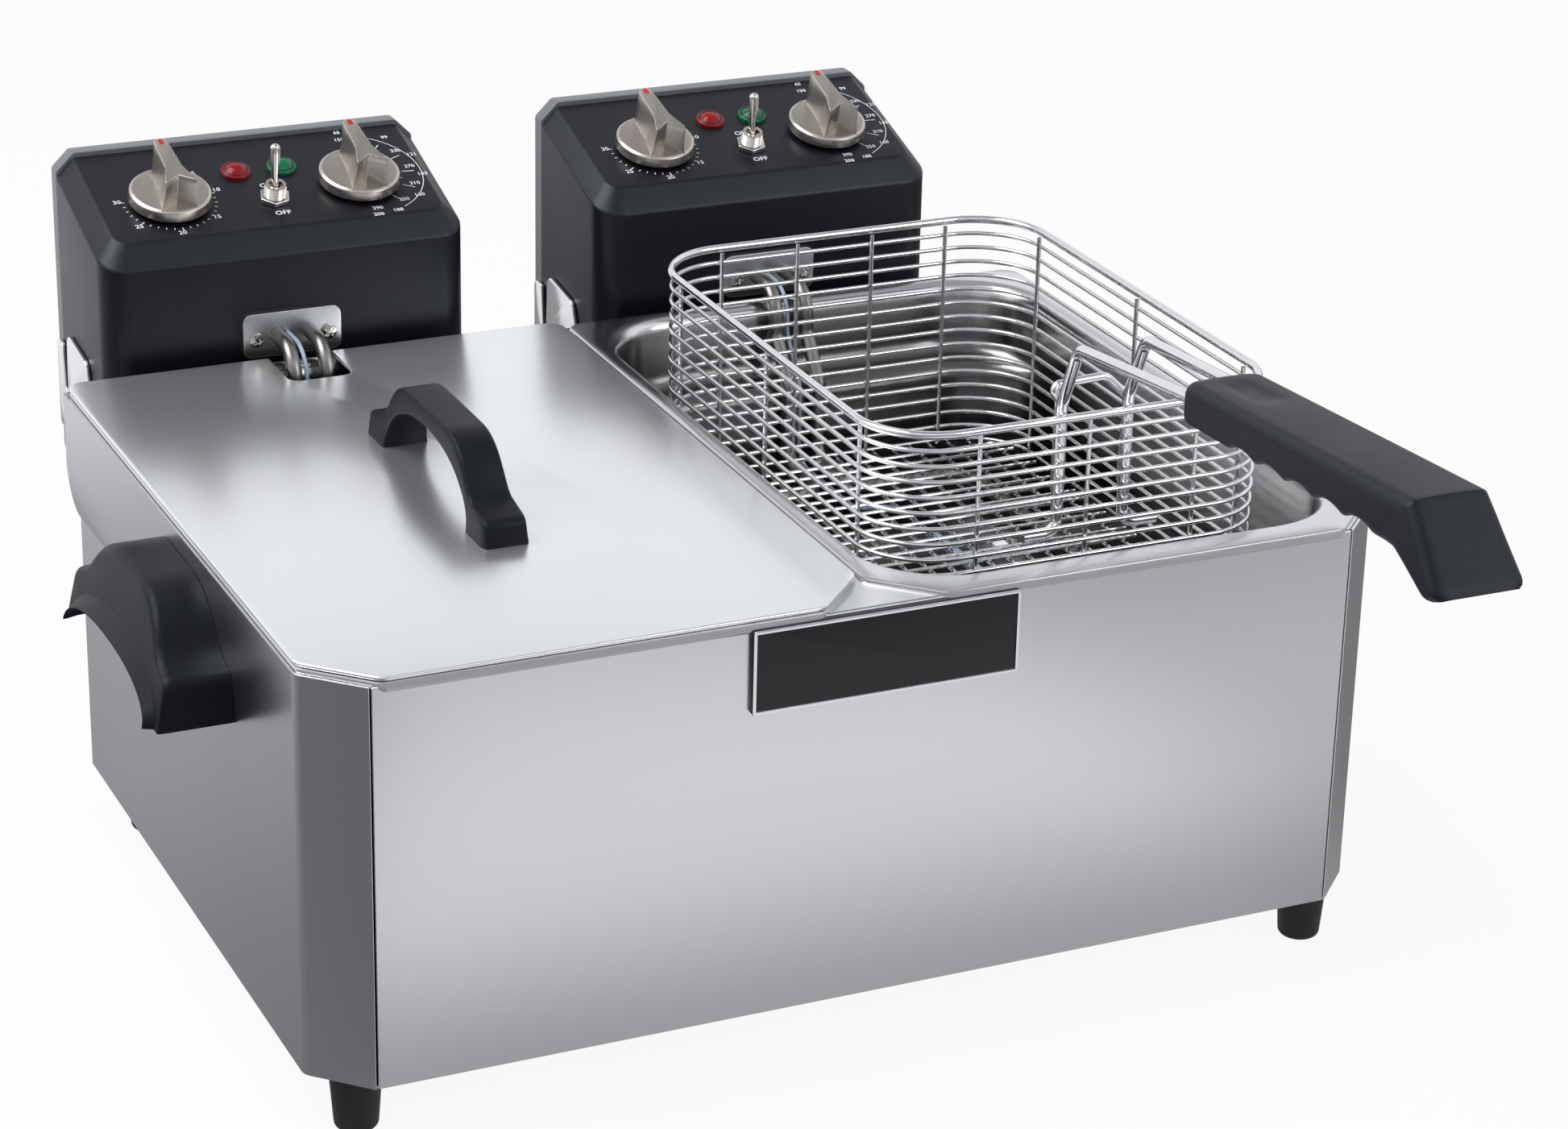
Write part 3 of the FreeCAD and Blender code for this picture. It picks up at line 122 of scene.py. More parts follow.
def piece(name, body, material, parts, stands_for=(), crease=38):
    """One object from skins given in millimetres from the middle of the casing's lower front edge; the
    frame's origin lies under the middle of the fryer, on the table."""
    points = np.concatenate([spots for spots, faces in parts])
    starts = np.cumsum([0] + [len(spots) for spots, faces in parts])
    blocks = [block + start for (spots, faces), start in zip(parts, starts) for block in faces]
    corners = np.concatenate([block.ravel() for block in blocks])
    counts = np.concatenate([np.full(len(block), block.shape[1]) for block in blocks])
    mesh = bpy.data.meshes.new(name)
    mesh.vertices.add(len(points))
    mesh.vertices.foreach_set("co", ((points - frame_origin) / 1000).ravel())
    mesh.loops.add(len(corners))
    mesh.loops.foreach_set("vertex_index", corners.astype(np.int32))
    mesh.polygons.add(len(counts))
    mesh.polygons.foreach_set("loop_start", (np.cumsum(counts) - counts).astype(np.int32))
    mesh.polygons.foreach_set("use_smooth", np.ones(len(counts), bool))
    mesh.update(calc_edges=True)
    mesh.set_sharp_from_angle(angle=math.radians(crease))
    mesh.materials.append(material)
    thing = bpy.data.objects.new(name, mesh)
    bpy.context.scene.collection.objects.link(thing)
    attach(thing, body)
    if stands_for:
        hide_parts(*stands_for)


def dress(node, material):
    """A finish on a piece that keeps the mesh it was built with."""
    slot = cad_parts[node].material_slots[0]
    slot.link = "OBJECT"
    slot.material = material


def add(tree, kind, feeds=None, **settings):
    """A new node with its settings; each feed is a plain value or another node's output."""
    new = tree.nodes.new(kind)
    for label, value in settings.items():
        setattr(new, label, value)
    for label, value in (feeds or {}).items():
        if isinstance(value, bpy.types.NodeSocket):
            tree.links.new(value, new.inputs[label])
        else:
            new.inputs[label].default_value = value
    return new


def reckon(tree, operation, *values):
    """One step of arithmetic on plain values and other nodes' outputs."""
    return add(tree, "ShaderNodeMath", dict(enumerate(values)), operation=operation).outputs[0]


def span(tree, value, low, high, start, end):
    """A value carried from one range to another and held at its ends."""
    return add(tree, "ShaderNodeMapRange", {0: value, 1: low, 2: high, 3: start, 4: end}).outputs[0]


def noise(tree, place, scale, detail):
    """Smooth random values over the surface, finer with a larger scale."""
    return add(tree, "ShaderNodeTexNoise", {"Vector": place, "Scale": scale, "Detail": detail}).outputs[0]


def scaled(tree, colour, factor):
    """A colour made lighter or darker by a factor."""
    return add(tree, "ShaderNodeVectorMath", {0: colour, "Scale": factor}, operation="SCALE").outputs[0]


def recipe(name, inputs):
    """A shared surface pattern that gives a colour, a roughness and a normal; returns it and its two ends."""
    group = bpy.data.node_groups.new(name, "ShaderNodeTree")
    for label, kind, value in inputs:
        socket = group.interface.new_socket(label, in_out="INPUT", socket_type="NodeSocket" + kind)
        socket.default_value = value
    for label, kind in (("Base Color", "Color"), ("Roughness", "Float"), ("Normal", "Vector")):
        group.interface.new_socket(label, in_out="OUTPUT", socket_type="NodeSocket" + kind)
    return group, group.nodes.new("NodeGroupInput").outputs, group.nodes.new("NodeGroupOutput").inputs


def hand_out(pattern, given, tone, dull, relief, depth, grain):
    """Joins a pattern's colour, its roughness and a bump from its grain to the outputs."""
    bump = add(pattern, "ShaderNodeBump", {"Strength": relief, "Distance": depth, "Height": grain})
    pattern.links.new(tone, given["Base Color"])
    pattern.links.new(dull, given["Roughness"])
    pattern.links.new(bump.outputs[0], given["Normal"])


def finish(name, pattern, **values):
    """A material: the pattern feeds the shader's sockets of the same names; each value goes to the pattern's
    input of that name, or else to the shader's."""
    material = bpy.data.materials.new(name)
    material.use_nodes = True
    tree = material.node_tree
    shader = tree.nodes["Principled BSDF"]
    source = add(tree, "ShaderNodeGroup", node_tree=pattern)
    for label, value in values.items():
        wanted = label.replace("_", " ")
        holder = source if wanted in source.inputs else shader
        holder.inputs[wanted].default_value = value
    for output in source.outputs:
        tree.links.new(output, shader.inputs[output.name])
    return material


brushed, taken, given = recipe("brushed metal", [
    ("Stretch", "Vector", (8.0, 1500.0, 1500.0)), ("Tone", "Color", (0.6, 0.6, 0.61, 1.0)),
    ("Streak", "Float", 0.1), ("Polish", "Float", 0.3), ("Relief", "Float", 0.1), ("Depth", "Float", 1.0)])
where = add(brushed, "ShaderNodeTexCoord").outputs["Object"]
drawn = add(brushed, "ShaderNodeVectorMath", {0: where, 1: taken["Stretch"]}, operation="MULTIPLY").outputs[0]
lines = noise(brushed, drawn, 1.0, 3.0)
cloud = noise(brushed, where, 7.0, 2.0)
spread = reckon(brushed, "SUBTRACT", reckon(brushed, "MULTIPLY_ADD", cloud, 0.4, lines), 0.7)
swing = reckon(brushed, "MULTIPLY_ADD", spread, taken["Streak"], 1.0)
# Below the height of the tanks' flange the colour is darkened towards a given factor, a painted shade for the
# dark deep inside a tank; at the factor's default of 1 nothing changes.
height = add(brushed, "ShaderNodeSeparateXYZ", {0: where}).outputs["Z"]
deep = span(brushed, height, 0.204, 0.2275, taken["Depth"], 1.0)
tone = scaled(brushed, taken["Tone"], reckon(brushed, "MULTIPLY", swing, deep))
dull = reckon(brushed, "MULTIPLY_ADD", spread, taken["Streak"], taken["Polish"])
hand_out(brushed, given, tone, dull, taken["Relief"], 0.0004, lines)

casing_half = 275
casing_deep = 380
casing_high = 200
front_half = 248
corner_cut = 26
gauge = 1.5
ear_low = 140
ear_round = 25
ear_reach = 24
facing = ((1, 0, 0), (0, 0, 1), (0, -1, 0))
sheet_across = finish("stainless sheet drawn across", brushed, Stretch=(6, 1800, 1800),
                      Tone=(0.72, 0.725, 0.74, 1), Streak=0.03, Polish=0.27, Relief=0.012, Metallic=1)
sheet_along = finish("stainless sheet drawn along", brushed, Stretch=(1800, 6, 1800),
                     Tone=(0.7, 0.705, 0.73, 1), Streak=0.02, Polish=0.27, Relief=0.002, Metallic=1)
front_outline = oblong(-front_half, 0.4, front_half, casing_high - 0.4, 0.4, 3)
piece("front_sheet", "fryer", sheet_across, [skin(layers(front_outline, edged(-gauge, 0, 0.35), facing))],
      ["front_panel"])
plan = eased([(front_half + 1, 0), (casing_half, corner_cut), (casing_half, casing_deep),
              (casing_half - gauge, casing_deep), (casing_half - gauge, corner_cut + 0.6),
              (front_half + 0.5, 1.6)], [0.3, 8, 0.5, 0.5, 6.5, 0.2])
turn = np.linspace(0, np.pi / 2, 14)
ear_heights = ear_low + ear_round * (1 - np.cos(turn))
heights = np.concatenate([[0.3, ear_low - 0.5], ear_heights, [casing_high - 0.2]])
reach = np.concatenate([[0, 0], ear_reach * np.sin(turn), [ear_reach]])
for side, sign in (("left", -1), ("right", 1)):
    loops = np.zeros((len(heights), len(plan), 3))
    loops[..., 0] = sign * plan[:, 0]
    loops[..., 1] = plan[:, 1] + (plan[:, 1] > casing_deep - 10) * reach[:, None]
    loops[..., 2] = heights[:, None]
    piece(f"{side}_side_sheet", "fryer", sheet_along, [skin(loops)],
          [f"{side}_side_panel"])
for node in ("base_plate", "rear_panel", "top_frame"):
    dress(node, sheet_across)


# Feet: four soft rubber pads, moulded with a slight flare upwards and a rounded lower edge; each is pressed
# into the base plate near a corner of the casing.
def turned(profile, lay=((1, 0, 0), (0, 1, 0), (0, 0, 1)), origin=(0, 0, 0), sides=40):
    """A lathed skin: each radius of the profile times the cosine and sine of the turn, at its height."""
    radius, lift = np.asarray(profile, float).T[:, :, None]
    turn = np.linspace(0, 2 * np.pi, sides, endpoint=False)[None]
    loops = np.stack(np.broadcast_arrays(radius * np.cos(turn), radius * np.sin(turn), lift), -1)
    return skin(loops @ np.asarray(lay, float) + np.asarray(origin, float))


moulded, taken, given = recipe("moulded grain", [
    ("Pitch", "Float", 900.0), ("Tone", "Color", (0.02, 0.02, 0.022, 1.0)), ("Vary", "Float", 0.3),
    ("Polish", "Float", 0.45), ("Relief", "Float", 0.15)])
where = add(moulded, "ShaderNodeTexCoord").outputs["Object"]
grit = noise(moulded, where, taken["Pitch"], 2.0)
cloud = noise(moulded, where, 25.0, 3.0)
spread = reckon(moulded, "SUBTRACT", reckon(moulded, "MULTIPLY_ADD", cloud, 0.6, grit), 0.8)
tone = scaled(moulded, taken["Tone"], reckon(moulded, "MULTIPLY_ADD", spread, taken["Vary"], 1.0))
some = reckon(moulded, "MULTIPLY", taken["Vary"], 0.4)
dull = reckon(moulded, "MULTIPLY_ADD", spread, some, taken["Polish"])
hand_out(moulded, given, tone, dull, taken["Relief"], 0.0005, grit)

foot_high = 30
foot_half = 251
foot_rows = (24, 356)
rubber = finish("foot rubber", moulded, Pitch=1500, Tone=(0.012, 0.012, 0.013, 1), Polish=0.5)
foot = eased([(1, -foot_high), (10.3, -foot_high), (12.5, 0)], [0, 3.2, 0], 7, joined=False)
feet = [turned(foot, origin=(x, y, 0)) for x in (-foot_half, foot_half) for y in foot_rows]
piece("feet", "fryer", rubber, feet, ["rubber_feet"])

# Badge: a bare plate with a black enamelled face inside a thin bright rim, pressed from sheet metal. It is
# fixed flat on the front sheet, just below the place where the two tanks' flanges meet.
badge_black = finish("badge enamel", moulded, Pitch=2500, Tone=(0.009, 0.01, 0.012, 1), Polish=0.34,
                     Relief=0.08, Specular_IOR_Level=0.35)
badge_rim = finish("badge rim", brushed, Stretch=(60, 900, 900), Tone=(0.8, 0.81, 0.83, 1), Polish=0.2,
                   Metallic=1)
badge_outline = oblong(-68, 157, 68, 199, 1.6, 5)
rim_section = eased([(0.2, 3), (0.2, 4), (1.9, 4), (1.9, 3)], 0.3, 3)
piece("badge_plate", "fryer", badge_black, [skin(layers(badge_outline, edged(0, 3.3, 0.3), facing))],
      ["front_badge"])
piece("badge_rim", "fryer", badge_rim, [skin(layers(badge_outline, rim_section, facing), ring=True)])


# Carry handles: two hollow black mouldings, one on each side sheet, bowed like a bridge with stepped feet. A
# thin finger lip flares out round the lower edge of the hollow; screws from inside the casing hold them.
def resampled(path, count):
    """The same open line with a number of points evenly spaced along its length."""
    path = np.asarray(path, float)
    gone = np.concatenate([[0], np.cumsum(np.linalg.norm(np.diff(path, axis=0), axis=1))])
    even = np.linspace(0, gone[-1], count)
    return np.stack([np.interp(even, gone, column) for column in path.T], 1)


def bow(half, rise, power, count=181):
    """Half a superellipse, from one foot to the other: sideways a power of the cosine, up one of the sine."""
    turn = np.linspace(np.pi, 0, count)
    cosine = np.cos(turn)
    return np.stack([half * np.sign(cosine) * np.abs(cosine) ** (2 / power),
                     rise * np.abs(np.sin(turn)) ** (2 / power)], 1)


def arch(half, radii):
    """The outer line of a handle: one half of it with rounded corners, and that half's mirror image."""
    whole = half + [(-along, up) for along, up in reversed(half)]
    return eased(whole, radii + radii[::-1], 14, joined=False)


def bridge(lines, section, flare, lean, lay, origin):
    """A bowed handle: at each station the section's first value blends from the lip line at -1 through the
    inner line at 0 to the outer line at 1; its second lies across, times the flare, and grows to the feet."""
    lip, inner, outer = [resampled(line, len(flare))[:, None] for line in lines]
    blend, across = np.asarray(section, float).T
    rise = np.maximum(blend, 0)[None, :, None]
    drop = np.maximum(-blend, 0)[None, :, None]
    flat = inner + (outer - inner) * rise + (lip - inner) * drop
    wide = flare[:, None] * across[None] * (1 + lean * (1 - flat[..., 1] / outer[..., 1].max()))
    loops = np.concatenate([flat, wide[..., None]], 2)
    return skin(loops @ np.asarray(lay, float) + np.asarray(origin, float))


handle_black = finish("handle moulding", moulded, Pitch=1300, Tone=(0.008, 0.0092, 0.012, 1), Vary=0.5,
                      Polish=0.42, Relief=0.2, Specular_IOR_Level=0.17, Specular_Tint=(0.82, 0.88, 1, 1))
stations = 96
carry_middle = 195
carry_low = 137
carry_band = 27
carry_lip = 8
carry_outer = arch([(-77, 0), (-76, 24), (-61, 27.5), (-38, 53.5)], [0, 6, 29, 46])
carry_lines = [bow(67, 14.5, 2.2), bow(70, 23, 2.2), carry_outer]
carry_section = eased([(0, 0), (carry_band, 0), (carry_band, 26), (2, 26), (-5.5, 29.5), (-carry_lip, 29.5),
                       (0, 23.5)], [0.5, 0.5, 4, 4, 0.9, 0.9, 4], 7)
carry_section[:, 0] /= np.where(carry_section[:, 0] > 0, carry_band, carry_lip)
for side, sign in (("left", -1), ("right", 1)):
    shape = bridge(carry_lines, carry_section, np.ones(stations), 0.4, ((0, 1, 0), (0, 0, 1), (sign, 0, 0)),
                   (sign * casing_half, carry_middle, carry_low))
    piece(f"{side}_handle_moulding", "fryer", handle_black, [shape],
          [f"{side}_carry_handle"])


# Tanks: two deep basins pressed from polished stainless steel. A flat flange with a turned-down front edge
# rests on the casing; the rear wall steps forward below a shelf where the heating tubes come down.
def basin_loop(half, front, rear, cuts, rounds):
    """A rectangle with all four corners cut and rounded, seen from above."""
    cut_front, cut_rear = cuts
    corners = [(cut_front - half, front), (half - cut_front, front), (half, front + cut_front),
               (half, rear - cut_rear), (half - cut_rear, rear), (cut_rear - half, rear),
               (-half, rear - cut_rear), (-half, front + cut_front)]
    return eased(corners, [rounds[0]] * 3 + [rounds[1]] * 4 + [rounds[0]], 8)


def basin_row(grow, radius, rear, low, rear_low):
    """One loop of the well, grown outwards: it lies at one height, and its rear end at another."""
    loop = basin_loop(well_half + grow, well_front - grow, rear + grow,
                      [0.586 * radius] * 2, [0.985 * radius] * 2)
    share = np.clip((loop[:, 1] - 260) / 60, 0, 1)
    return np.column_stack([loop, low + (rear_low - low) * share])


def well(grow, drop):
    """The well from its floor up to the mouth, grown outwards by the sheet's gauge for the outer skin."""
    rows = []
    for turn in np.linspace(np.pi / 2, 0, 8):
        inwards = floor_round * (1 - np.cos(turn))
        low = floor_edge - (floor_round + drop) * np.sin(turn)
        rows.append(basin_row(grow - inwards, well_round + grow - inwards, lower_rear, low, low))
    for turn in np.linspace(0, np.pi / 2, 6):
        rear = lower_rear + shelf_round * (1 - np.cos(turn))
        rear_low = shelf_low - drop + shelf_round * np.sin(turn)
        rows.append(basin_row(grow, well_round + grow, rear, shelf_low + 4 * turn, rear_low))
    for turn in np.linspace(np.pi / 2, 0, 6):
        rear = upper_rear - shelf_round * (1 - np.cos(turn))
        rear_low = shelf_high - drop - shelf_round * np.sin(turn)
        rows.append(basin_row(grow, well_round + grow, rear, shelf_high + 2 - 4 * turn, rear_low))
    return rows


tank_middle = 137.5
tank_gauge = 1.2
flange_half = 136
flange_top = 202
mouth_round = 8
well_half = 123
well_front = 20
well_round = 45
floor_round = 25
floor_edge = 77
lower_rear = 372
upper_rear = 394
shelf_round = 10
shelf_low = 152
shelf_high = 172
# Its colour is darkened towards the floor of the well, a painted shade for the dark deep inside the tank.
pressed = finish("pressed stainless", brushed, Stretch=(40, 40, 700), Tone=(0.7, 0.7, 0.705, 1), Streak=0.12,
                 Polish=0.22, Relief=0.03, Depth=0.27, Metallic=1)
flange_edge = [(4, 199.9, 0), (0.5, 199.9, 0), (0.3, 200, 1), (0, 200.5, 1), (0, 201, 0), (0.25, 201.6, 0),
               (1, flange_top, 0)]
rows = well(tank_gauge, tank_gauge)
rows.append(basin_row(tank_gauge, well_round + tank_gauge, upper_rear, 198, 198))
for inset, high, lip in flange_edge:
    loop = basin_loop(flange_half - inset, inset - 1, 405 - inset, [30, 6], [8, 9])
    hang = np.clip((2.5 - loop[:, 1]) / 3, 0, 1) * lip
    loop[:, 1] -= 0.6 * hang
    rows.append(np.column_stack([loop, high - 2.6 * hang]))
for turn in np.linspace(0, np.pi / 2, 7):
    grow = mouth_round * (1 - np.sin(turn))
    high = flange_top - mouth_round * (1 - np.cos(turn))
    rows.append(basin_row(grow, well_round + grow, upper_rear, high, high))
rows += well(0, 0)[::-1]
for side, sign in (("left", -1), ("right", 1)):
    piece(f"{side}_tank_skin", "fryer", pressed, [skin(np.stack(rows) + [sign * tank_middle, 0, 0])],
          [f"{side}_tank"])

# Lid: a flat plate of brushed stainless steel that lies loose on the left flange, cut like it at the front
# corners and notched at the rear where the heating tubes pass.
level = ((1, 0, 0), (0, 1, 0), (0, 0, 1))
lid_low = 202.3
lid_top = 204.3
lid_steel = finish("lid sheet drawn across", brushed, Stretch=(6, 1800, 1800), Tone=(0.86, 0.865, 0.88, 1),
                   Streak=0.04, Polish=0.25, Relief=0.01, Metallic=0.86)
lid_outline = eased([(-106, -1), (106, -1), (136, 29), (136, 405), (7, 405), (7, 367), (-27, 367), (-27, 405),
                     (-136, 405), (-136, 29)], [12, 12, 12, 9, 1.5, 6, 6, 1.5, 9, 12], 7)
lid_plate = layers(lid_outline, edged(lid_low, lid_top, 0.9, 5), level, (-tank_middle, 0, 0))
piece("lid_sheet", "lid", lid_steel, [skin(lid_plate)], ["lid"])

# Lid handle: a black moulding bowed like a bridge, with stepped feet and softened edges. Two bright screws
# from under the lid go up into its feet.
bright = finish("bright nickel", brushed, Stretch=(300, 300, 300), Tone=(0.7, 0.67, 0.63, 1), Streak=0.1,
                Polish=0.16, Relief=0.03, Metallic=1)
lid_band = 9
lid_outer = arch([(-84, 0), (-82, 12), (-62, 15.5), (-42, 40.5)], [0, 4, 11, 32])
lid_inner = bow(58, 31.5, 2.1)
lid_section = eased([(0, -10.5), (lid_band, -10.5), (lid_band, 10.5), (0, 10.5)], [1, 2.2, 2.2, 1])
lid_section[:, 0] /= lid_band
lid_flare = 1 + 0.15 * np.abs(np.linspace(-1, 1, stations)) ** 6
lid_bridge = bridge([lid_inner, lid_inner, lid_outer], lid_section, lid_flare, 0,
                    ((0, 1, 0), (0, 0, 1), (1, 0, 0)), (-140, 202, lid_top))
piece("lid_handle_moulding", "lid", handle_black, [lid_bridge], ["lid_handle"])
dress("lid_handle_screws", bright)


# Basket: chromed steel wires welded at their crossings: a thick rim, sixteen thin hoops, upright wires inside
# them and a floor of wires laid both ways. It stands on the heating loop and lifts out of the right tank.
def wire(path, radius, sides=10, joined=False):
    """A round wire: at each point of the path a circle across its direction, its sides set by one fixed guide
    direction, the one that the path follows least."""
    path = np.asarray(path, float)
    ahead = np.roll(path, -1, 0) - np.roll(path, 1, 0)
    if not joined:
        ahead[0] = path[1] - path[0]
        ahead[-1] = path[-1] - path[-2]
    ahead /= np.linalg.norm(ahead, axis=1, keepdims=True)
    third = math.sqrt(1 / 3)
    guides = np.array([(1, 0, 0), (0, 1, 0), (0, 0, 1), (third, third, third), (-third, third, third),
                       (third, -third, third), (third, third, -third)])
    guide = guides[np.abs(ahead @ guides.T).max(0).argmin()]
    across = np.cross(ahead, guide)
    across /= np.linalg.norm(across, axis=1, keepdims=True)
    upright = np.cross(across, ahead)
    turn = np.linspace(0, 2 * np.pi, sides, endpoint=False)[None, :, None]
    thick = np.broadcast_to(np.asarray(radius, float), len(path))[:, None, None]
    circle = np.cos(turn) * across[:, None] + np.sin(turn) * upright[:, None]
    return skin(path[:, None] + thick * circle, joined)


def hoop(z):
    """A rounded rectangle round the basket's wall at one height."""
    flat = oblong(-basket_half, -basket_deep, basket_half, basket_deep, basket_corner, 14)
    return np.column_stack([flat + [basket_x, basket_y], np.full(len(flat), z)])


def chord(half_x, half_y, corner, offset):
    """Half the length of a floor wire at an offset from the middle of a rounded rectangle."""
    into = np.maximum(np.abs(offset) - (half_x - corner), 0)
    return half_y - corner + np.sqrt(corner ** 2 - into ** 2)


basket_x = 134
basket_y = 202
basket_half = 107
basket_deep = 146.5
basket_corner = 38
thin = 1.15
hoop_low = 128
hoop_pitch = 7.9375
hoop_count = 16
rim_high = 255
post_ends = (126.85, 252.85)
post_inset = 2.35
cross_inset = 4.7
long_count = 18
long_high = 125.65
cross_count = 24
chrome = finish("chromed wire", brushed, Stretch=(300, 300, 300), Tone=(0.78, 0.78, 0.79, 1), Streak=0.2,
                Polish=0.13, Relief=0.06, Metallic=1)
piece("rim_wire", "basket", chrome, [wire(hoop(rim_high), 2.1, 14, True)], ["basket_rim"])
piece("hoop_wires", "basket", chrome,
      [wire(hoop(hoop_low + hoop_pitch * k), thin, 10, True) for k in range(hoop_count)],
      ["basket_rings"])
post_x = basket_half - post_inset
post_y = basket_deep - post_inset
posts = [(x, post_y) for x in (-66, -22, 22, 66)] + [(x, -post_y) for x in (-58.7, 0, 58.7)]
posts += [(x, y) for x in (-post_x, post_x) for y in (-108.5, 0, 108.5)]
piece("post_wires", "basket", chrome,
      [wire([(basket_x + x, basket_y + y, z) for z in post_ends], thin) for x, y in posts],
      ["basket_posts"])
long_places = np.arange(1, long_count + 1) * 2 * basket_half / (long_count + 1) - basket_half
long_wires = []
for x in long_places:
    run = chord(basket_half, basket_deep, basket_corner, x)
    long_wires.append(wire([(basket_x + x, basket_y + end, long_high) for end in (-run, run)], thin, 8))
piece("floor_wires_long", "basket", chrome, long_wires, ["basket_floor_long"])
inner_deep = basket_deep - cross_inset
cross_places = np.arange(1, cross_count + 1) * 2 * inner_deep / (cross_count + 1) - inner_deep
cross_wires = []
for y in cross_places:
    run = chord(inner_deep, basket_half - cross_inset, basket_corner - cross_inset, y)
    cross_wires.append(wire([(basket_x + end, basket_y + y, hoop_low) for end in (-run, run)], thin, 8))
piece("floor_wires_cross", "basket", chrome, cross_wires, ["basket_floor_cross"])

# Basket handle: two thick chromed wires, turned out at their feet and welded up the front wall, that lean
# forward above the rim and run on into the grip; a hook wire welded behind them catches on the tank's edge.
rods = []
for sign in (-1, 1):
    path = eased([(sign * 36, 60.65, 195), (sign * 18, 60.65, 195), (sign * 18, 60.65, 260.1),
                  (sign * 18, 46.65, 293), (sign * 14.5, -48, 302), (sign * 14.5, -92, 302)],
                 [0, 7, 12, 9, 30, 0], 9, joined=False)
    rods.append(wire(path + [tank_middle, 0, 0], 3, 14))
hook = eased([(-17, 65.5, 215), (-17, 65.5, 262), (-23, 66, 268.5), (8, 66, 270), (20, 65.5, 258),
              (19, 65.5, 215)], [0, 4, 3, 8, 4, 0], 8, joined=False)
piece("handle_wires", "basket", chrome, rods + [wire(hook + [tank_middle, 0, 0], 2.2, 12)],
      ["basket_handle_rods"])

# Grip: a black moulding pushed on the two handle wires, with a thumb hollow on top, finger grooves below and
# a broad flat end bent downwards.
grip_stations = 130
grip_half = 21
grip_thick = 20
groove_ends = (-92, -212)
groove_pitch = 24
grip_top = eased([(-53, 311.4), (-238, 323), (-268, 290)], [0, 1.5, 0], 10, joined=False)
grip_low = eased([(-53, 291.4), (-229, 299), (-259, 286.5)], [0, 10, 0], 10, joined=False)
grip_top = resampled(grip_top, grip_stations)
grip_low = resampled(grip_low, grip_stations)
grip_outline = oblong(-grip_half, 0, grip_half, grip_thick, [5, 5, 5.5, 5.5], 8)
grip_section = resampled(np.concatenate([grip_outline, grip_outline[:1]]), 105)[:-1]
gone = np.linspace(0, 1, grip_stations)[:, None]
widen = 0.97 + 0.03 * np.clip(gone / 0.6, 0, 1) + 0.08 * np.clip((gone - 0.8) / 0.2, 0, 1)
across = grip_section[None, :, 0] * widen
share = grip_section[None, :, 1] / grip_thick
spine = grip_low[:, None] + (grip_top - grip_low)[:, None] * share[..., None]
along = grip_low[:, None, 0]
grooved = (along < groove_ends[0]) & (along > groove_ends[1])
grooves = np.where(grooved, 3.2 * np.abs(np.sin((along - groove_ends[0]) / groove_pitch * np.pi)), 0)
hollow = np.exp(-((spine[..., 0] + 82) / 16) ** 4 - (across / 7.5) ** 4)
crown = 0.9 * (1 - (across / grip_half) ** 2) - 1.5 * hollow
lift = grooves * np.clip(1 - share / 0.35, 0, 1) + np.clip((share - 0.7) / 0.3, 0, 1) * crown
grip_loops = np.stack([across + tank_middle, spine[..., 0], spine[..., 1] + lift], -1)
centres = grip_loops.mean(1, keepdims=True)
taper = np.ones((grip_stations, 1, 1))
taper[:3, 0, 0] = 0.87, 0.95, 0.985
taper[-3:, 0, 0] = 0.985, 0.95, 0.86
grip_black = finish("grip moulding", moulded, Pitch=1300, Tone=(0.0085, 0.0098, 0.0125, 1), Vary=0.5,
                    Polish=0.45, Relief=0.15, Specular_IOR_Level=0.28, Specular_Tint=(0.82, 0.88, 1, 1))
piece("grip_moulding", "basket", grip_black, [skin(centres + (grip_loops - centres) * taper)],
      ["basket_grip"])


# Control heads: two black coated housings with a sloped panel inside a bevel that runs round the front and
# the sides, each closed by a grey pan at the rear. They stand behind the tanks, clipped into brackets on the
# casing.
def head_loop(inset, drop, level=None):
    """One loop of a head from above: a rectangle rounded at its front corners, drawn in at the front and the
    sides; its height is one level or the panel's slope less a drop."""
    half = head_half - inset
    front = panel_front + inset
    corner = max(15 - 0.7 * inset, 4)
    flat = eased([(-half, head_rear), (-half, front), (half, front), (half, head_rear)],
                 [0.4, corner, corner, 0.4], 9)
    sloped = panel_low + (flat[:, 1] - panel_front) * math.tan(slope) - drop
    return np.column_stack([flat, sloped if level is None else np.full(len(flat), level)])


slope = math.radians(17)
panel_front = 418
panel_low = 265
head_half = 99.5
head_rear = 506.2
head_floor = 125
pan_top = 294.5
pan_back = 518
head_middle = {"left": -147.5, "right": 127.5}
backward = ((1, 0, 0), (0, 0, 1), (0, 1, 0))
shell_black = finish("head coating", moulded, Pitch=1600, Tone=(0.005, 0.006, 0.0085, 1), Vary=0.25,
                     Polish=0.38, Relief=0.07, Specular_IOR_Level=0.38, Specular_Tint=(0.84, 0.89, 1, 1))
cover_grey = finish("head pan coating", moulded, Pitch=1600, Tone=(0.16, 0.168, 0.182, 1), Vary=0.25,
                    Polish=0.4, Relief=0.07)
bevel = eased([(0, 30), (0, 10), (9.3, 0), (40, 0)], [0, 3, 3, 0], 7, joined=False)
shell_loops = [head_loop(inset, 0, head_floor + rise) for inset, rise in ((2.5, 0), (0.8, 0.8), (0, 3))]
shell_loops += [head_loop(inset, drop) for inset, drop in bevel]
pan_outline = eased([(-head_half, head_floor), (head_half, head_floor), (head_half, pan_top - 9.5),
                     (head_half - 9.5, pan_top), (9.5 - head_half, pan_top), (-head_half, pan_top - 9.5)], 3)
pan_section = eased([(0.3, 506.7), (0, 507.5), (0, pan_back), (2.6, pan_back)], [0, 0.3, 2.5, 0],
                    joined=False)
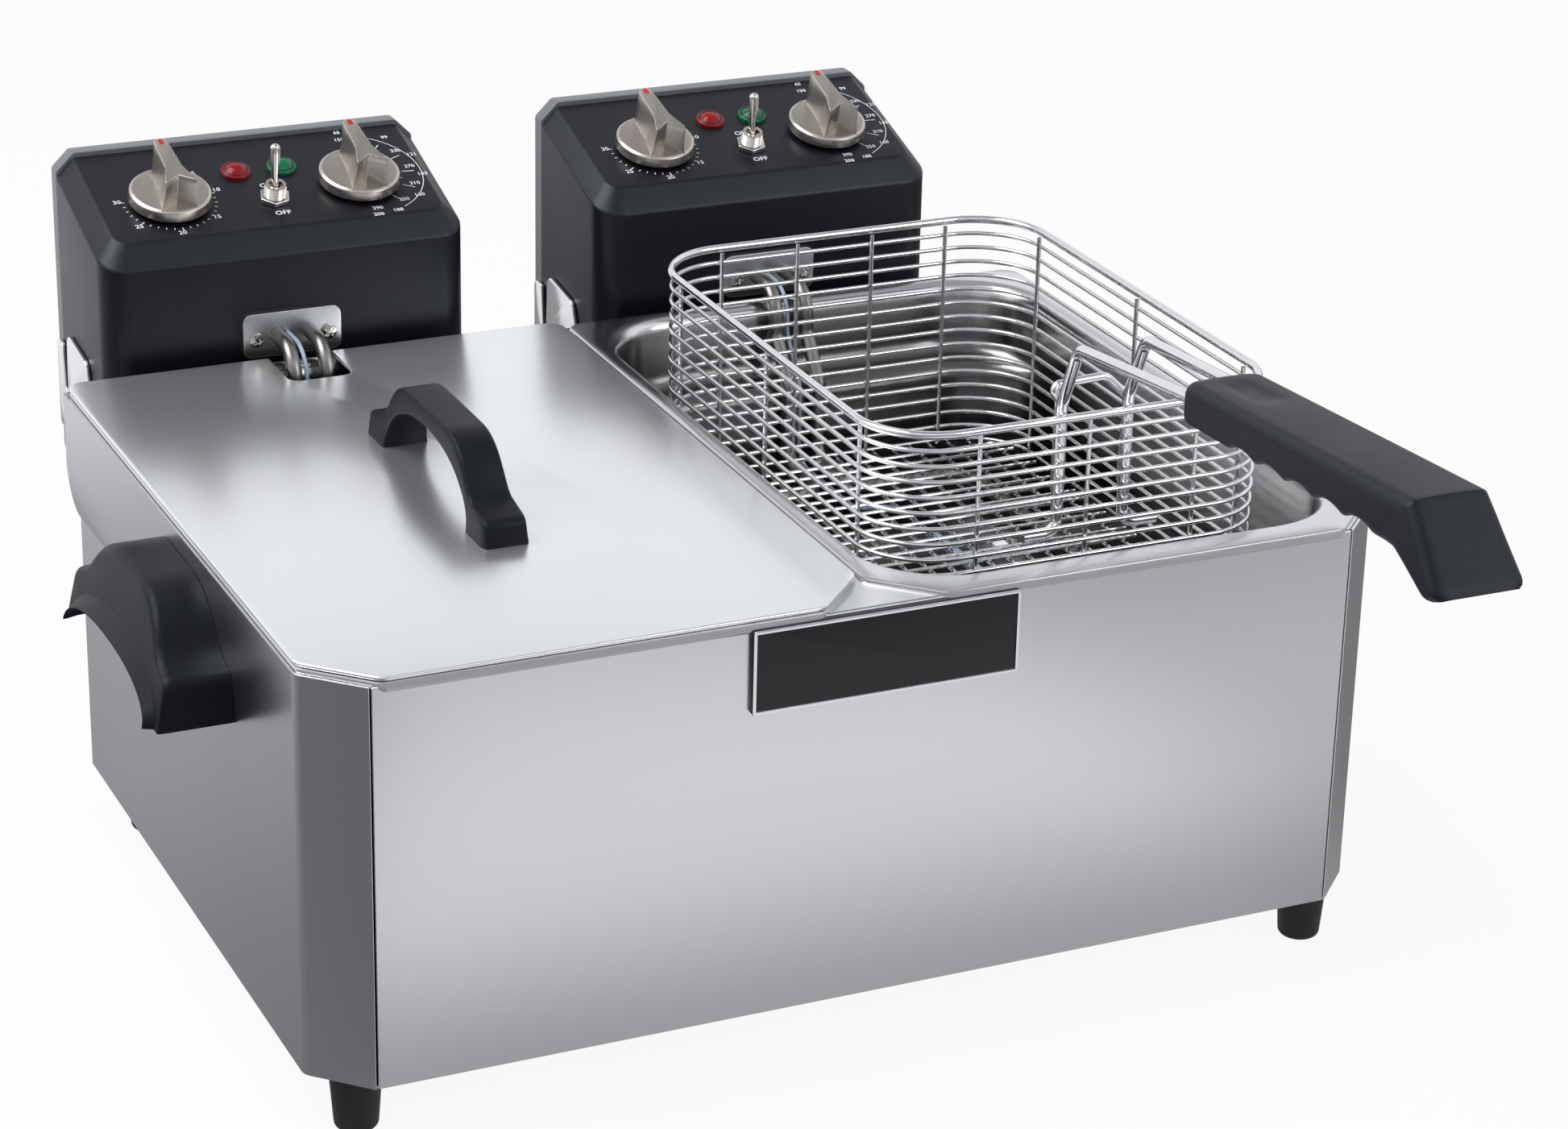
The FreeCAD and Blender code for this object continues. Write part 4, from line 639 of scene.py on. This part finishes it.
for side, x in head_middle.items():
    piece(f"{side}_head_shell", "fryer", shell_black, [skin(np.stack(shell_loops) + [x, 0, 0])],
          [f"{side}_head_housing"], 30)
    pan = layers(pan_outline, pan_section, backward, (x, 0, 0))
    piece(f"{side}_head_pan", "fryer", cover_grey, [skin(pan)], [f"{side}_head_cover"], 30)


# Knobs: cast in satin nickel, a disc with a raised wing that is narrow at the pointer and forked at its near
# end, and a red mark painted in the tip of the wing. Each is pushed on the shaft of a control fixed behind
# the panel; the control is coloured near-black, a painted shade for the dark gap under the knob.
def on_panel(middle, x, up):
    """A place on a head's panel: sideways from the head's middle, and up the slope from its lower edge."""
    return np.array([middle + x, panel_front, panel_low]) + up * tilt[1]


tilt = np.array([(1, 0, 0), (0, math.cos(slope), math.sin(slope)), (0, -math.sin(slope), math.cos(slope))])
dial_out = 52
dial_up = 42
wing_low = 7
wing_high = 18
nickel = finish("satin nickel", brushed, Stretch=(500, 500, 500), Tone=(0.52, 0.48, 0.435, 1), Streak=0.15,
                Polish=0.3, Relief=0.03, Metallic=1)
mark_red = finish("pointer paint", moulded, Pitch=2500, Tone=(0.55, 0.01, 0.015, 1), Polish=0.35)
# A near-black finish: on the controls a painted shade for the gap under each knob, and the real dark colour
# of the plate gaskets.
gap_shade_and_gasket_black = finish("dial gap shade and gasket", moulded, Pitch=2500, Tone=(0.006, 0.006, 0.007, 1), Polish=0.6)
disc = eased([(1, 1), (20.5, 1), (22, 2.5), (21.6, 7.4), (20, 8.4), (1, 8.8)], [0, 0.3, 0.6, 1, 1.5, 0], 5,
             joined=False)
low_wing = np.array([(0, -12), (10.5, -19.2), (8.6, -3), (7.6, 16), (3.4, 21.8), (-3.4, 21.8), (-7.6, 16),
                     (-8.6, -3), (-10.5, -19.2)])
top_wing = np.array([(0, -11.5), (8.9, -18.4), (4.6, -3), (3.9, 15), (3.1, 24.2), (-3.1, 24.2), (-3.9, 15),
                     (-4.6, -3), (-8.9, -18.4)])
wing_rows = []
for share, inset in ((0, 0), (0.12, 0), (0.3, 0), (0.55, 0), (0.8, 0), (0.95, 0), (0.985, 0.02), (1, 0.06)):
    outline = low_wing + (top_wing - low_wing) * np.array([share ** 0.45, share])
    flat = eased(outline, [0.4, 0.5, 9, 9, 2.6, 2.6, 9, 9, 0.5], 5) * (1 - inset)
    wing_rows.append(np.column_stack([flat, np.full(len(flat), wing_low + wing_high * share)]))
wing = np.stack(wing_rows)
tip = eased([(-1.5, 18.2), (1.5, 18.2), (1.2, 22.6), (-1.2, 22.6)], 0.7, 4)
for side, middle in head_middle.items():
    for kind, x in (("timer", -dial_out), ("thermostat", dial_out)):
        seat = on_panel(middle, x, dial_up)
        body = f"{side}_{kind}_knob"
        piece(f"{body}_casting", body, nickel, [turned(disc, tilt, seat, 64), skin(wing @ tilt + seat)],
              [body], 32)
        piece(f"{body}_mark", body, mark_red, [skin(layers(tip, edged(24.9, 25.15, 0.05, 2), tilt, seat))])
        dress(f"{side}_{kind}", gap_shade_and_gasket_black)

# Lamps: a red and a green lens on each panel, pressed from clear tinted plastic and snapped into its hole
# from outside. A groove runs between the flange and the dome; a ring of darker tint laid in it is a painted
# shade.
lamp_up = 63
groove_radius = 6.3
lens = eased([(8, 0), (8, 1.5), (7.3, 2.2), (6.3, 1.7), (5.4, 2.4), (3, 4), (0.4, 4.3)],
             [0, 0.5, 0.4, 0.4, 0.6, 3, 0], joined=False)
turn = np.linspace(0, 2 * np.pi, 40, endpoint=False)
groove = np.stack([groove_radius * np.cos(turn), groove_radius * np.sin(turn), np.full(40, 1.75)], 1)
lamps = (("power", "red_lens", -9.7, (0.3, 0.005, 0.01, 1), (0.035, 0.002, 0.004, 1)),
         ("heat", "green_lens", 15.7, (0.002, 0.16, 0.06, 1), (0.002, 0.025, 0.012, 1)))
for name, tint_slot, x, tint, dark in lamps:
    glass = finish(f"{name} lens", moulded, Pitch=700, Tone=tint, Vary=1.2, Polish=0.15, Relief=0.35,
                   Specular_IOR_Level=0.22, Coat_Weight=0.12, Coat_Roughness=0.05)
    # The groove ring is a darker copy of the lens tint, a painted shade.
    groove_shade_glass = finish(f"{name} lens groove", moulded, Pitch=900, Tone=dark, Polish=0.25)
    for side, middle in head_middle.items():
        seat = on_panel(middle, x, lamp_up)
        piece(f"{side}_{name}_lens", "fryer", glass, [turned(lens, tilt, seat)],
              [f"{side}_{name}_lamp"])
        piece(f"{side}_{name}_groove", "fryer", groove_shade_glass, [wire(groove @ tilt + seat, 0.75, 10, True)])

# Switches: a nickelled toggle on each panel, screwed through a hole: a six-sided nut, a threaded bush and a
# slim lever that rocks in it.
switch_x = 3
switch_up = 34.5
pivot_out = 5
nut_radius = 8.66
thread_pitch = 1
lean = math.radians(5)
leaning = ((1, 0, 0), (0, math.cos(lean), math.sin(lean)), (0, -math.sin(lean), math.cos(lean)))
angles = np.radians(np.arange(0, 360, 60) + 15)
nut = eased(np.stack([nut_radius * np.cos(angles), nut_radius * np.sin(angles)], 1), 0.7, 4)
climb = np.arange(3, 9.3, 0.25)
thread = np.column_stack([5.65 + 0.22 * np.cos(climb * 2 * np.pi / thread_pitch), climb])
bush = np.concatenate([[(5.9, 0.2)], thread, [(5.4, 10), (3.9, 10), (3.5, 9.2), (3.4, 6), (0.6, 6)]])
lever = eased([(0.5, 1), (2, 1), (1.9, 6), (2.7, 22), (2.7, 26.5), (0.4, 26.8)], [0, 0.5, 2, 4, 2.4, 0],
              joined=False)
for side, middle in head_middle.items():
    seat = on_panel(middle, switch_x, switch_up)
    nut_skin = skin(layers(nut, edged(0, 3, 0.5), tilt, seat))
    piece(f"{side}_switch_bush", "fryer", bright, [nut_skin, turned(bush, tilt, seat)],
          [f"{side}_toggle_switch"])
    piece(f"{side}_switch_lever", f"{side}_toggle_lever", bright,
          [turned(lever, leaning, seat + pivot_out * tilt[2], 24)], [f"{side}_toggle_lever"])


# Dial print: white ink screen-printed on the coated panels: ticks and numbers round the knobs and the two
# words at the switch. It lies a little above the coating.
def lettering(text, size, x, up, middle):
    """Printed characters as a flat mesh, moved to a place on a panel and laid along its slope."""
    curve = bpy.data.curves.new("print", "FONT")
    curve.body = text
    curve.size = size
    curve.offset = 0.07
    curve.align_x = "CENTER"
    curve.align_y = "CENTER"
    curve.resolution_u = 2
    holder = bpy.data.objects.new("print", curve)
    bpy.context.scene.collection.objects.link(holder)
    bpy.context.view_layer.update()
    mesh = bpy.data.meshes.new_from_object(holder.evaluated_get(bpy.context.evaluated_depsgraph_get()))
    spots = np.zeros(len(mesh.vertices) * 3)
    mesh.vertices.foreach_get("co", spots)
    mesh.calc_loop_triangles()
    faces = np.zeros(len(mesh.loop_triangles) * 3, np.int32)
    mesh.loop_triangles.foreach_get("vertices", faces)
    bpy.data.objects.remove(holder)
    bpy.data.meshes.remove(mesh)
    spots = spots.reshape(-1, 3) + [x, up, ink_lift]
    return spots @ tilt + on_panel(middle, 0, 0), [faces.reshape(-1, 3)]


def ticks(x, up, angles, start, length, width, middle):
    """Short bars along the spokes at the given angles, clockwise from the top of a dial."""
    turn = np.radians(angles)[:, None]
    spoke = np.stack([np.sin(turn), np.cos(turn)], -1)
    beside = np.stack([np.cos(turn), -np.sin(turn)], -1)
    end = start + length
    bar = np.array([(start, -width / 2), (start, width / 2), (end, width / 2), (end, -width / 2)])
    flat = spoke * bar[None, :, :1] + beside * bar[None, :, 1:] + [x, up]
    spots = np.concatenate([flat, np.full(flat.shape[:2] + (1,), ink_lift)], 2).reshape(-1, 3)
    return spots @ tilt + on_panel(middle, 0, 0), [np.arange(len(spots)).reshape(-1, 4)[:, ::-1]]


ink_lift = 0.12
arc_x = 51
arc_up = 48.5
print_white = finish("dial ink", moulded, Pitch=3000, Tone=(0.9, 0.91, 0.93, 1), Polish=0.5)
timer_print = [("5", 20, 24), ("10", 27.4, 6.9), ("15", 20.7, -17.4), ("20", -1, -28), ("25", -21.5, -18.5),
               ("30", -27, 5)]
heat_print = [("230", 29.4, 24.9), ("270", 32, 9.2), ("310", 29.6, -6.8), ("350", 19, -20.4),
              ("390", 2.4, -25.6), ("99", 27.6, 38.6), ("121", 36.9, 20), ("143", 36.6, 1),
              ("160", 28.5, -17.8), ("188", 12.6, -29.3), ("200", 1.2, -31.4), ("65", 3.4, 47.5),
              ("150", 2.5, 40.6)]
for side, middle in head_middle.items():
    marks = [ticks(-dial_out, dial_up, np.arange(0, 31) * 10 - 20, 23.6, 1.6, 0.5, middle),
             ticks(-dial_out, dial_up, np.arange(0, 7) * 50 - 20, 23.6, 2.6, 0.7, middle),
             ticks(arc_x, arc_up, np.array([42, 66, 93, 120, 146]), 27, 7, 0.5, middle),
             ticks(arc_x, arc_up, np.array([54, 79, 106, 133, 163]), 24.5, 2, 0.5, middle),
             ticks(arc_x, arc_up, np.arange(26, 152, 1.5), 37.6, 0.45, 1.05, middle)]
    marks += [lettering(text, 4.5, x - dial_out, dial_up + up, middle) for text, x, up in timer_print]
    marks += [lettering(text, 3.9, x + dial_out, dial_up + up, middle) for text, x, up in heat_print]
    marks += [lettering("ON", 5, 3, 48, middle), lettering("OFF", 5, 3.8, 21.7, middle)]
    piece(f"{side}_dial_print", "fryer", print_white, marks)

# Heating tubes: a plated steel plate on the front of each head, on a dark gasket, carries the bare steel tube
# that runs over the flange, down the rear of the tank, round its floor and back, and the thermostat's thin
# line with its bulb.
tube_high = 213
loop_high = 119
drop_rear = 366.5
tube_radius = 4
line_x = -2.5
bulb_x = 20
bulb_y = 240
rear_edge = np.array([(1, 0, 0), (0, 0, 1), (0, -1, 0)])
plate_grey = finish("element plate", brushed, Stretch=(200, 900, 900), Tone=(0.55, 0.56, 0.58, 1),
                    Polish=0.34, Metallic=1)
tube_steel = finish("element tube", brushed, Stretch=(250, 250, 250), Tone=(0.26, 0.245, 0.235, 1),
                    Streak=0.25, Polish=0.33, Metallic=1)
line_blue = finish("sensing line", moulded, Pitch=900, Tone=(0.42, 0.52, 0.66, 1), Polish=0.3)
plate_outline = oblong(-27, 201, 27, 225, 5)
gasket_outline = oblong(-28, 200, 28, 226, 6)
down = [(424, tube_high), (385, tube_high), (385, 188), (drop_rear, 163), (drop_rear, loop_high)]
half_way = [(9, y, z) for y, z in down] + [(9, 322, loop_high), (78, 322, loop_high), (78, 80, loop_high)]
route = np.array(half_way + [(-px, py, pz) for px, py, pz in reversed(half_way)], float)
bends = [0, 18, 9, 9, 13, 14, 22, 30]
tube_path = eased(route, bends + bends[::-1], 9, joined=False)
thread_way = [(line_x, y, z) for y, z in down] + [(line_x, 290, loop_high), (bulb_x, 290, loop_high),
                                                  (bulb_x, bulb_y, loop_high)]
thread_path = eased(np.array(thread_way, float), [0, 17, 9, 9, 13, 10, 10, 0], 8, joined=False)
bulb = eased([(1, -92), (3, -92), (3, 8), (1.2, 10)], [0, 1.5, 1.5, 0], 5, joined=False)
for side, x in head_middle.items():
    front = (x, panel_front, 0)
    piece(f"{side}_plate", "fryer", plate_grey,
          [skin(layers(plate_outline, edged(0.3, 2, 0.4), rear_edge, front))],
          [f"{side}_element_plate"])
    piece(f"{side}_plate_gasket", "fryer", gap_shade_and_gasket_black,
          [skin(layers(gasket_outline, edged(-1.5, 0.4, 0.2), rear_edge, front))])
    piece(f"{side}_tube", "fryer", tube_steel, [wire(tube_path + [x, 0, 0], tube_radius, 16)],
          [f"{side}_heating_element"])
    piece(f"{side}_sensing_line", "fryer", line_blue,
          [wire(thread_path + [x, 0, 0], 1.2, 10),
           turned(bulb, backward, (x + bulb_x, bulb_y, loop_high), 20)],
          [f"{side}_thermostat_bulb"])

# Plate screws: two pan-head screws of plated steel with a cross recess, driven through each element plate and
# its gasket into the front of the head.
screw_out = 20
screw_high = 211
radius = np.concatenate([[4.0, 4.0, 3.9], np.linspace(3.6, 0.15, 12)])[:, None]
turn = np.linspace(0, 2 * np.pi, 48, endpoint=False)[None]
flat_x = radius * np.cos(turn)
flat_y = radius * np.sin(turn)
arm = np.minimum(np.abs(flat_x + flat_y), np.abs(flat_x - flat_y)) / math.sqrt(2)
recess = np.clip((0.75 - arm) / 0.15, 0, 1) * np.clip((2.7 - radius) / 0.3, 0, 1)
dome = 2.0 - 0.045 * radius ** 2 - 0.9 * recess
dome[0] = 0.0
dome[1] = 0.8
screw_head = np.stack([flat_x, flat_y, dome], -1) @ rear_edge
for side, x in head_middle.items():
    heads = [skin(screw_head + [x + place, panel_front - 2, screw_high]) for place in (-screw_out, screw_out)]
    piece(f"{side}_screw_heads", "fryer", bright, heads, [f"{side}_plate_screws"])

# Head clips: bright steel brackets on the back of the casing, one on each side of a head, with two upright
# fins; a pin through each bracket carries the head. A red reset button and a cable gland finish each head.
clip_out = 100.8
pin_out = 95.8
edgewise = ((0, 1, 0), (0, 0, 1), (1, 0, 0))
clip_chrome = finish("bright clip steel", brushed, Stretch=(200, 200, 40), Tone=(0.78, 0.78, 0.79, 1),
                     Streak=0.1, Polish=0.12, Metallic=1)
button_red = finish("reset button", moulded, Pitch=2000, Tone=(0.45, 0.01, 0.012, 1), Polish=0.35)
gland_black = finish("gland moulding", moulded, Pitch=1500, Tone=(0.015, 0.015, 0.016, 1), Polish=0.45)
clip_outline = eased([(404, 142), (512, 142), (512, 191), (501, 191), (498.75, 166), (494.25, 166),
                      (492, 200), (455, 195.5), (446, 172), (404, 172)], [2, 3, 4, 4, 2, 2, 6, 8, 8, 1])
pin = eased([(0.5, 0), (3, 0), (3, 6.2), (4.2, 6.4), (4.2, 8), (0.5, 8.4)], [0, 0.1, 0.1, 0.1, 0.6, 0], 5,
            joined=False)
button = eased([(0.4, 0), (4, 0.5), (4, 12)], [0, 1, 0], 5, joined=False)
gland_profile = eased([(6, 0), (8.6, 0.5), (9, 8), (10, 8.5), (10, 16)], [0, 1, 0.5, 0.5, 0], 5, joined=False)
for side, x in head_middle.items():
    plates = []
    pins = []
    for sign in (-1, 1):
        plates.append(skin(layers(clip_outline, edged(-1, 1, 0.35), edgewise, (x + sign * clip_out, 0, 0))))
        outwards = ((0, 1, 0), (0, 0, 1), (sign, 0, 0))
        pins.append(turned(pin, outwards, (x + sign * pin_out, 498, 154), 28))
    piece(f"{side}_clips", "fryer", clip_chrome, plates, [f"{side}_head_brackets"])
    piece(f"{side}_pins", "fryer", clip_chrome, pins, [f"{side}_head_pins"])
    piece(f"{side}_reset_cap", f"{side}_reset_button", button_red,
          [turned(button, backward, (x - 55, 413, 190), 28)], [f"{side}_reset_button"])
    piece(f"{side}_gland", "fryer", gland_black, [turned(gland_profile, origin=(x + 52, 468, 109))],
          [f"{side}_cable_gland"])


# Stage: a pale paper floor and a white surround, with a soft box above the fryer and one beside it. Seen only
# in reflections, the floor glows in painted greys before and beside the casing and the room's roof and front
# wall
# are painted darker: painted reflections. The camera stands to the front left, above the lid.
def ramp(tree, value, stops, blue):
    """Greys along a value, each made bluer by a factor; a stop is a place from 0 to 1 and its grey."""
    new = add(tree, "ShaderNodeValToRGB", {0: value})
    spots = new.color_ramp.elements
    spots.remove(spots[1])
    for place, grey in stops:
        stop = spots.new(place) if place > 0 else spots[0]
        stop.color = (grey, grey, grey * blue, 1.0)
    return new.outputs[0]


def blend(tree, factor, first, second):
    """A mix of two shaders: the first where the factor is 0, the second where it is 1."""
    return add(tree, "ShaderNodeMixShader", {0: factor, 1: first, 2: second}).outputs[0]


floor_half = 6
floor_mesh = bpy.data.meshes.new("floor")
floor_corners = [(floor_half * x, floor_half * y, 0) for x, y in ((-1, -1), (1, -1), (1, 1), (-1, 1))]
floor_mesh.from_pydata(floor_corners, [], [(0, 1, 2, 3)])
floor = bpy.data.objects.new("floor", floor_mesh)
bpy.context.scene.collection.objects.link(floor)
paper = bpy.data.materials.new("pale paper")
paper.use_nodes = True
tree = paper.node_tree
tree.nodes.clear()
ray = add(tree, "ShaderNodeLightPath").outputs
matt = add(tree, "ShaderNodeBsdfDiffuse", {"Color": (0.82, 0.82, 0.83, 1.0)}).outputs[0]
white = add(tree, "ShaderNodeEmission", {"Color": (1.0, 1.0, 1.0, 1.0), "Strength": 1.0}).outputs[0]
spot = add(tree, "ShaderNodeSeparateXYZ", {0: add(tree, "ShaderNodeTexCoord").outputs["Object"]}).outputs
# The floor's glow for reflected rays: painted greys along its depth, dimmer to the right and darker on the
# left beside the casing, a painted reflection.
sweep = ramp(tree, span(tree, spot["Y"], -1.0, 0.0, 0.0, 1.0),
             [(0, 0.66), (0.4, 0.86), (0.58, 0.93), (0.72, 0.86), (0.83, 0.47), (1, 0.32)], 1.02)
flank = ramp(tree, span(tree, spot["Y"], -0.2, 1.0, 0.0, 1.0),
             [(0, 0.17), (0.12, 0.22), (0.25, 0.27), (0.42, 0.38), (0.58, 0.42), (0.72, 0.5), (0.85, 0.75),
              (1, 0.95)], 1.05)
front = scaled(tree, sweep, span(tree, spot["X"], 0.22, 0.42, 1.0, 0.7))
left = span(tree, spot["X"], -0.24, -0.3, 0.0, 1.0)
painted_reflection_grey = add(tree, "ShaderNodeMix", {0: left, 6: front, 7: flank}, data_type="RGBA").outputs[2]
painted_reflection = add(tree, "ShaderNodeEmission", {"Color": painted_reflection_grey, "Strength": 1.0}).outputs[0]
mirrored = blend(tree, ray["Is Glossy Ray"], matt, painted_reflection)
seen = blend(tree, ray["Is Camera Ray"], mirrored, blend(tree, 0.92, matt, white))
add(tree, "ShaderNodeOutputMaterial", {"Surface": seen})
floor_mesh.materials.append(paper)

world = bpy.data.worlds.new("studio")
world.use_nodes = True
bpy.context.scene.world = world
tree = world.node_tree
tree.nodes.clear()
ray = add(tree, "ShaderNodeLightPath").outputs
white = add(tree, "ShaderNodeBackground", {"Color": (1.0, 1.0, 1.0, 1.0), "Strength": 1.0}).outputs[0]
room = add(tree, "ShaderNodeBackground", {"Color": (0.86, 0.9, 0.95, 1.0), "Strength": 0.4}).outputs[0]
# For reflected rays the room's brightness is painted by direction, dimmer towards the roof and towards the
# front low down, a painted reflection.
way = add(tree, "ShaderNodeSeparateXYZ", {0: add(tree, "ShaderNodeTexCoord").outputs["Object"]}).outputs
above = reckon(tree, "MULTIPLY_ADD", way["Y"], 0.2, way["Z"])
before = reckon(tree, "MULTIPLY_ADD", way["Y"], 0.6, way["Z"])
roof = span(tree, above, 0.66, 0.88, 1.0, 0.42)
wall = span(tree, before, -0.1, 0.2, 0.4, 1.0)
dimmed = reckon(tree, "MULTIPLY", roof, wall)
painted_sky_reflection = add(tree, "ShaderNodeBackground", {"Color": (0.95, 0.97, 1.0, 1.0), "Strength": dimmed}).outputs[0]
sky = blend(tree, ray["Is Camera Ray"], blend(tree, ray["Is Glossy Ray"], room, painted_sky_reflection), white)
add(tree, "ShaderNodeOutputWorld", {"Surface": sky})


def stand(thing, right, up, back, place):
    """Puts a light or the camera at its place, turned to its own three directions."""
    grid = np.eye(4)
    grid[:3] = np.stack([right, up, back, np.asarray(place, float)], 1)
    thing.matrix_world = Matrix(grid.tolist())


def softbox(name, place, target, size, power):
    """A square light that faces a target."""
    lamp = bpy.data.lights.new(name, "AREA")
    lamp.shape = "RECTANGLE"
    lamp.size = size
    lamp.size_y = size
    lamp.energy = power
    thing = bpy.data.objects.new(name, lamp)
    bpy.context.scene.collection.objects.link(thing)
    back = np.asarray(place, float) - np.asarray(target, float)
    back /= np.linalg.norm(back)
    right = np.cross((0, 0, 1), back)
    right /= np.linalg.norm(right)
    stand(thing, right, np.cross(back, right), back, place)


target = (0, 0, 0.15)
softbox("key", (-1.4, 0.6, 2.4), target, 1.8, 55)
softbox("fill", (1.8, -2.2, 1.8), target, 1.6, 25)

camera_lens = bpy.data.cameras.new("camera")
camera_lens.lens = 94.453
camera_lens.sensor_width = 36
camera_lens.sensor_fit = "HORIZONTAL"
camera = bpy.data.objects.new("camera", camera_lens)
bpy.context.scene.collection.objects.link(camera)
yaw, pitch, roll = np.radians([24.88, 22.73, 1.35])
ahead = np.array([math.sin(yaw) * math.cos(pitch), math.cos(yaw) * math.cos(pitch), -math.sin(pitch)])
right = np.array([math.cos(yaw), -math.sin(yaw), 0])
up = np.cross(right, ahead)
rolled_right = math.cos(roll) * right + math.sin(roll) * up
rolled_up = math.cos(roll) * up - math.sin(roll) * right
stand(camera, rolled_right, rolled_up, -ahead, (-0.7698, -1.6725, 0.9727))
bpy.context.scene.camera = camera
bpy.context.scene.view_settings.view_transform = "Standard"
